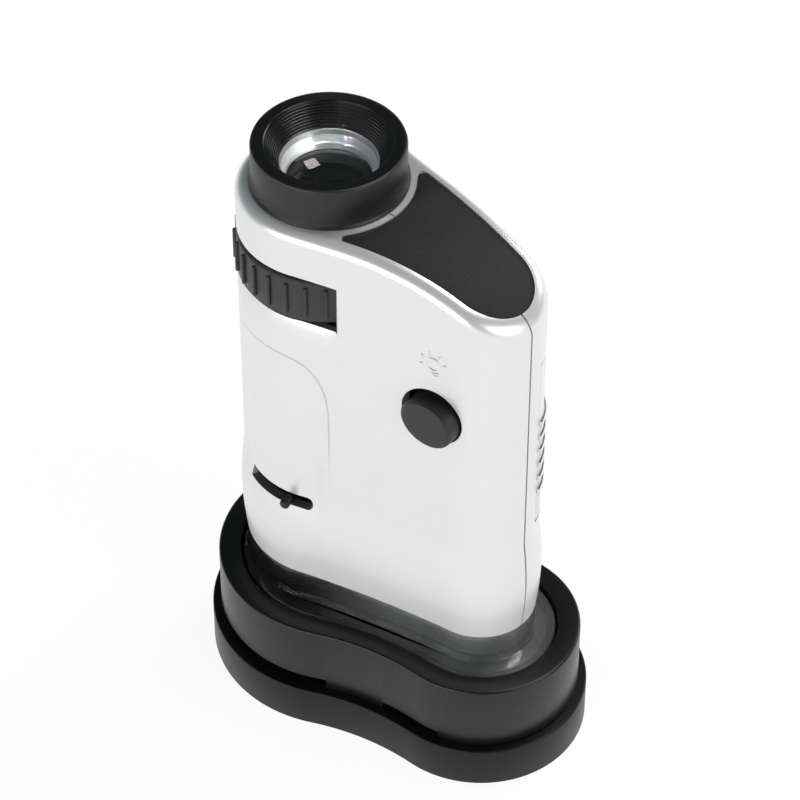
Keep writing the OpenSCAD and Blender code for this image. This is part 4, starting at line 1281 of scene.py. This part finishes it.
# %% Zoom ring
RING_LOW, RING_HIGH = 81.95, 89.85
RING_R = 14.55
DRUM_IN_R = 12.85
HUB_IN_R, HUB_R = 10.05, 11.8
WEB_LOW, WEB_HIGH = 84.9, 86.9
RIB_COUNT = 29
RIB_ANGLE = -78.3
RIB_W, RIB_OUT, RIB_SINK = 0.62, 0.52, 0.4
RIB_MARGIN = 1.0
RIB_ROUND = 0.28

drum = [
    (HUB_IN_R, RING_LOW), (HUB_R, RING_LOW), (HUB_R, WEB_LOW), (DRUM_IN_R, WEB_LOW),
    (DRUM_IN_R, RING_LOW), (RING_R - 0.2, RING_LOW), (RING_R, RING_LOW + 0.25),
    (RING_R, RING_HIGH - 0.5), (RING_R - 0.35, RING_HIGH - 0.08), (RING_R - 0.6, RING_HIGH),
    (DRUM_IN_R, RING_HIGH), (DRUM_IN_R, WEB_HIGH), (HUB_R, WEB_HIGH), (HUB_R, RING_HIGH),
    (HUB_IN_R, RING_HIGH),
]
zoom_grip = turned("zoom_grip", drum, AXIS_FOOT, steps=160)
rib = block(
    "rib", (RING_R - RIB_SINK, -RIB_W / 2, RING_LOW + RIB_MARGIN),
    (RING_R + RIB_OUT, RIB_W / 2, RING_HIGH - RIB_MARGIN))
use_modifier(
    rib, "BEVEL", width=RIB_ROUND * MM, segments=4, limit_method="ANGLE",
    angle_limit=math.radians(40))
onto_axis, off_axis = Matrix.Translation(AXIS_FOOT), Matrix.Translation(-AXIS_FOOT)
ribs = []
for i in range(RIB_COUNT):
    copy = rib.copy()
    copy.data = rib.data.copy()
    bpy.context.scene.collection.objects.link(copy)
    swing = Matrix.Rotation(math.radians(RIB_ANGLE + i * 360 / RIB_COUNT), 4, "Z")
    copy.data.transform(onto_axis @ swing @ off_axis)
    ribs.append(copy)
bpy.data.objects.remove(rib)
join(zoom_grip, ribs)
dress(zoom_grip, black_satin, "zoom_body", ["zoom_ring"], edge=0.05, angle=30)

# %% [markdown]
# ## The lamp button
# The button is a flat cap with a rolled edge on a wider round flange, both turned about a line
# across the body. The cap is then pressed a little flatter than round and moved down, so a dark
# crescent of its hole shows above it.

# %% Lamp button
BUTTON_R = 4.8
BUTTON_TALL = 8.3
BUTTON_OUT = 2.0
BUTTON_ROLL = 0.7
FLANGE_R = 5.9
FLANGE_T = 0.9


def half_width(x):
    """Half the body's width at a distance from the optical axis."""
    wx, wy = waist_centre(BODY)
    big, small, gap, waist = [BODY[key] for key in ("big", "small", "gap", "waist")]
    if x < big * wx / (big + waist):
        return math.sqrt(big**2 - x**2)
    if x > gap + small * (wx - gap) / (small + waist):
        return math.sqrt(small**2 - (x - gap) ** 2)
    return wy - math.sqrt(waist**2 - (x - wx) ** 2)


def rolled_edge(radius, end, roll, steps):
    """A quarter circle from a bar's side to its end, which is its lower end if roll is above 0."""
    turns = [math.pi / 2 * k / steps for k in range(steps + 1)]
    return [
        (radius - abs(roll) * (1 - math.cos(t)), end + roll * (1 - math.sin(t))) for t in turns]


button_face = -half_width(BUTTON_X) - BUTTON_OUT
flange_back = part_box("lamp_button")[1].y / MM
cap_back = flange_back - FLANGE_T / 2
cap_profile = [
    (0, cap_back), (BUTTON_R, cap_back), *rolled_edge(BUTTON_R, button_face, BUTTON_ROLL, 6),
    (2.0, button_face + 0.02), (0, button_face + 0.08),
]
flange = rod(FLANGE_R, flange_back, flange_back - FLANGE_T)
button_spot = place(BUTTON_X, 0, BUTTON_Z)
press_button = turned("press_button", flange, button_spot, axis=(0, 1, 0), steps=96)
cap = turned("cap", cap_profile, button_spot, axis=(0, 1, 0), steps=96)
select_points(cap, lambda co: True)
bpy.ops.transform.resize(value=(1, 1, BUTTON_TALL / 2 / BUTTON_R), center_override=button_spot)
bpy.ops.transform.translate(value=(0, 0, -(BUTTON_R - BUTTON_TALL / 2) * MM))
end_edit()
cut(press_button, cap, "UNION")
dress(press_button, button_grey, "button_body", ["lamp_button"], edge=0.08, angle=40)

# %% [markdown]
# ## The focus peg
# The focus ring inside is moved by a peg that stands in the slit. It is a pin with a domed end,
# turned about a line out of the optical axis.

# %% Focus peg
PEG_ANGLE = math.radians(-81)
PEG_R = 0.85
PEG_FROM, PEG_TO = 9.63, 16.2
PEG_DOME = 0.5

peg_profile = [
    (0, PEG_FROM), (PEG_R, PEG_FROM), *rolled_edge(PEG_R, PEG_TO, -PEG_DOME, 5), (0, PEG_TO)]
peg_axis = (math.cos(PEG_ANGLE), math.sin(PEG_ANGLE), 0)
focus_peg = turned(
    "focus_peg", peg_profile, place(0, 0, SLIT_Z), axis=peg_axis, side=(0, 0, 1), steps=40)
dress(focus_peg, base_black, "focus_body", ["focus_lever"], edge=0.04, angle=40)

# %% [markdown]
# ## The lamp sign
# A small raised sign of a bulb stands on the wall above the button. Its ring is turned, its rays
# are one bar copied round it, and two more bars make its base. The sign is drawn upright on the
# optical axis, then leaned over, turned and moved so that it lies on the wall.

# %% Lamp sign
SIGN_X, SIGN_Z = 27.5, 82.7
SIGN_LEAN = math.radians(-15)
SIGN_OUT, SIGN_SINK = 0.12, 0.3
SIGN_LINE = 0.26
BULB_R = 1.3
RAY_FROM, RAY_TO = 1.75, 2.45
RAYS = (0, 45, 90, 135, 180)
BASE_BARS = [(-1.75, 0.6), (-2.25, 0.4)]

bulb = [
    (BULB_R - SIGN_LINE, -SIGN_OUT), (BULB_R, -SIGN_OUT),
    (BULB_R, SIGN_SINK), (BULB_R - SIGN_LINE, SIGN_SINK),
]
lamp_sign = turned("lamp_sign", bulb, AXIS_FOOT, axis=(0, 1, 0), steps=48)
line = SIGN_LINE / 2
bars = []
for angle in RAYS:
    ray = block("ray", (RAY_FROM, -SIGN_OUT, -line), (RAY_TO, SIGN_SINK, line))
    ray.data.transform(onto_axis @ Matrix.Rotation(-math.radians(angle), 4, "Y") @ off_axis)
    bars.append(ray)
for z, half in BASE_BARS:
    bars.append(block("base_bar", (-half, -SIGN_OUT, z - line), (half, SIGN_SINK, z + line)))
join(lamp_sign, bars)
wall_turn = math.atan(half_width(SIGN_X - 0.5) - half_width(SIGN_X + 0.5))
lay = Matrix.Rotation(wall_turn, 4, "Z") @ Matrix.Rotation(SIGN_LEAN, 4, "Y")
onto_wall = Matrix.Translation(place(SIGN_X, -half_width(SIGN_X), SIGN_Z))
lamp_sign.data.transform(onto_wall @ lay @ off_axis)
dress(lamp_sign, silver_paint, "scope_body", edge=0.05)

# %% [markdown]
# ## The battery door
# The door is a piece of the body's own wall with six grip ribs. The outline is drawn up level by
# level, with two levels close together at the edge of every rib. What isn't door is cut away, the
# ribs are pushed out along their normals, and the strip is made solid.

# %% Battery door
DOOR_LOW, DOOR_HIGH = 47.2, 80.8
DOOR_X, DOOR_Y = 23.2, 2.2
DOOR_T = 1.5
DOOR_RIBS = 6
DOOR_RIB_Z, DOOR_RIB_PITCH = 61.1, 2.92
DOOR_RIB_W, DOOR_RIB_OUT, DOOR_RIB_SLOPE = 1.1, 0.45, 0.12

rib_zs = [DOOR_RIB_Z + (i - (DOOR_RIBS - 1) / 2) * DOOR_RIB_PITCH for i in range(DOOR_RIBS)]
rib_half = DOOR_RIB_W / 2
door_levels = []
for z in rib_zs:
    door_levels += [z - rib_half, z - rib_half + DOOR_RIB_SLOPE]
    door_levels += [z + rib_half - DOOR_RIB_SLOPE, z + rib_half]
door_cover = outline("door_cover", BODY, 0, DOOR_LOW)
raise_levels(DOOR_LOW, [*door_levels, DOOR_HIGH])
tidy_mesh()
bpy.ops.mesh.select_all(action="SELECT")
bpy.ops.mesh.bisect(plane_co=place(DOOR_X, 0, 0), plane_no=(1, 0, 0), clear_inner=True)
bpy.ops.mesh.select_all(action="SELECT")
bpy.ops.mesh.bisect(plane_co=place(0, DOOR_Y, 0), plane_no=(0, 1, 0), clear_inner=True)
end_edit()
for vertex in door_cover.data.vertices:
    z = vertex.co.z / MM
    if any(abs(z - rib_z) < rib_half - DOOR_RIB_SLOPE / 2 for rib_z in rib_zs):
        outward = Vector((vertex.normal.x, vertex.normal.y, 0)).normalized()
        vertex.co += outward * DOOR_RIB_OUT * MM
use_modifier(
    door_cover, "SOLIDIFY", thickness=DOOR_T * MM, offset=-1, use_even_offset=False, use_rim=True)
dress(door_cover, silver_paint, "door_body", ["battery_door"], edge=0.10, angle=40)

# %% [markdown]
# ## The clear skirt
# The skirt is a clear moulding between the shells and the base. Its solid already has the right
# walls, so a copy is merged, its flat faces are joined up and its edges are rounded.

# %% Clear skirt
SKIRT_DOUBLES = 0.002
SKIRT_FLAT = math.radians(0.5)

bpy.ops.object.select_all(action="DESELECT")
skirt_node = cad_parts["clear_skirt"]
skirt = skirt_node.copy()
skirt.data = skirt_node.data.copy()
skirt.parent = None
bpy.context.scene.collection.objects.link(skirt)
skirt.name = skirt.data.name = "skirt"
for key in list(skirt.keys()):
    del skirt[key]
select_points(skirt, lambda co: True)
bpy.ops.mesh.remove_doubles(threshold=SKIRT_DOUBLES * MM)
bpy.ops.mesh.dissolve_limited(angle_limit=SKIRT_FLAT)
end_edit()
dress(
    skirt, clear_plastic, "scope_body", ["clear_skirt"],
    edge=0.2, segments=3, angle=30)

# %% [markdown]
# ## The pieces inside
# Everything else keeps its solid and only takes a finish. Most of it is seen through the clear
# skirt, with the battery door off, or from below.

# %% Finishes of the inner pieces
INNER = {
    inner_black: [
        "optical_tube", "objective_guide", "zoom_lens_cell", "objective_barrel",
        "objective_retainer", "battery_holder", "lamp_holder", "field_stop", "push_switch",
    ],
    inner_grey: ["zoom_cam_sleeve", "focus_ring", "switch_plunger"],
    bright_steel: ["shell_screws", "base_screws", "zoom_pin", "focus_pin", "battery_cells"],
    plated_brass: ["battery_contact_lower", "battery_contact_upper"],
    board_green: ["circuit_board"],
    lead_red: ["lamp_leads"],
    lens_glass: ["zoom_lens", "objective_lens"],
    clear_plastic: ["lamp"],
}
for material, names in INNER.items():
    for name in names:
        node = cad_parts[name]
        node.data.materials.clear()
        node.data.materials.append(material)
print("inner pieces:", sum(len(names) for names in INNER.values()))
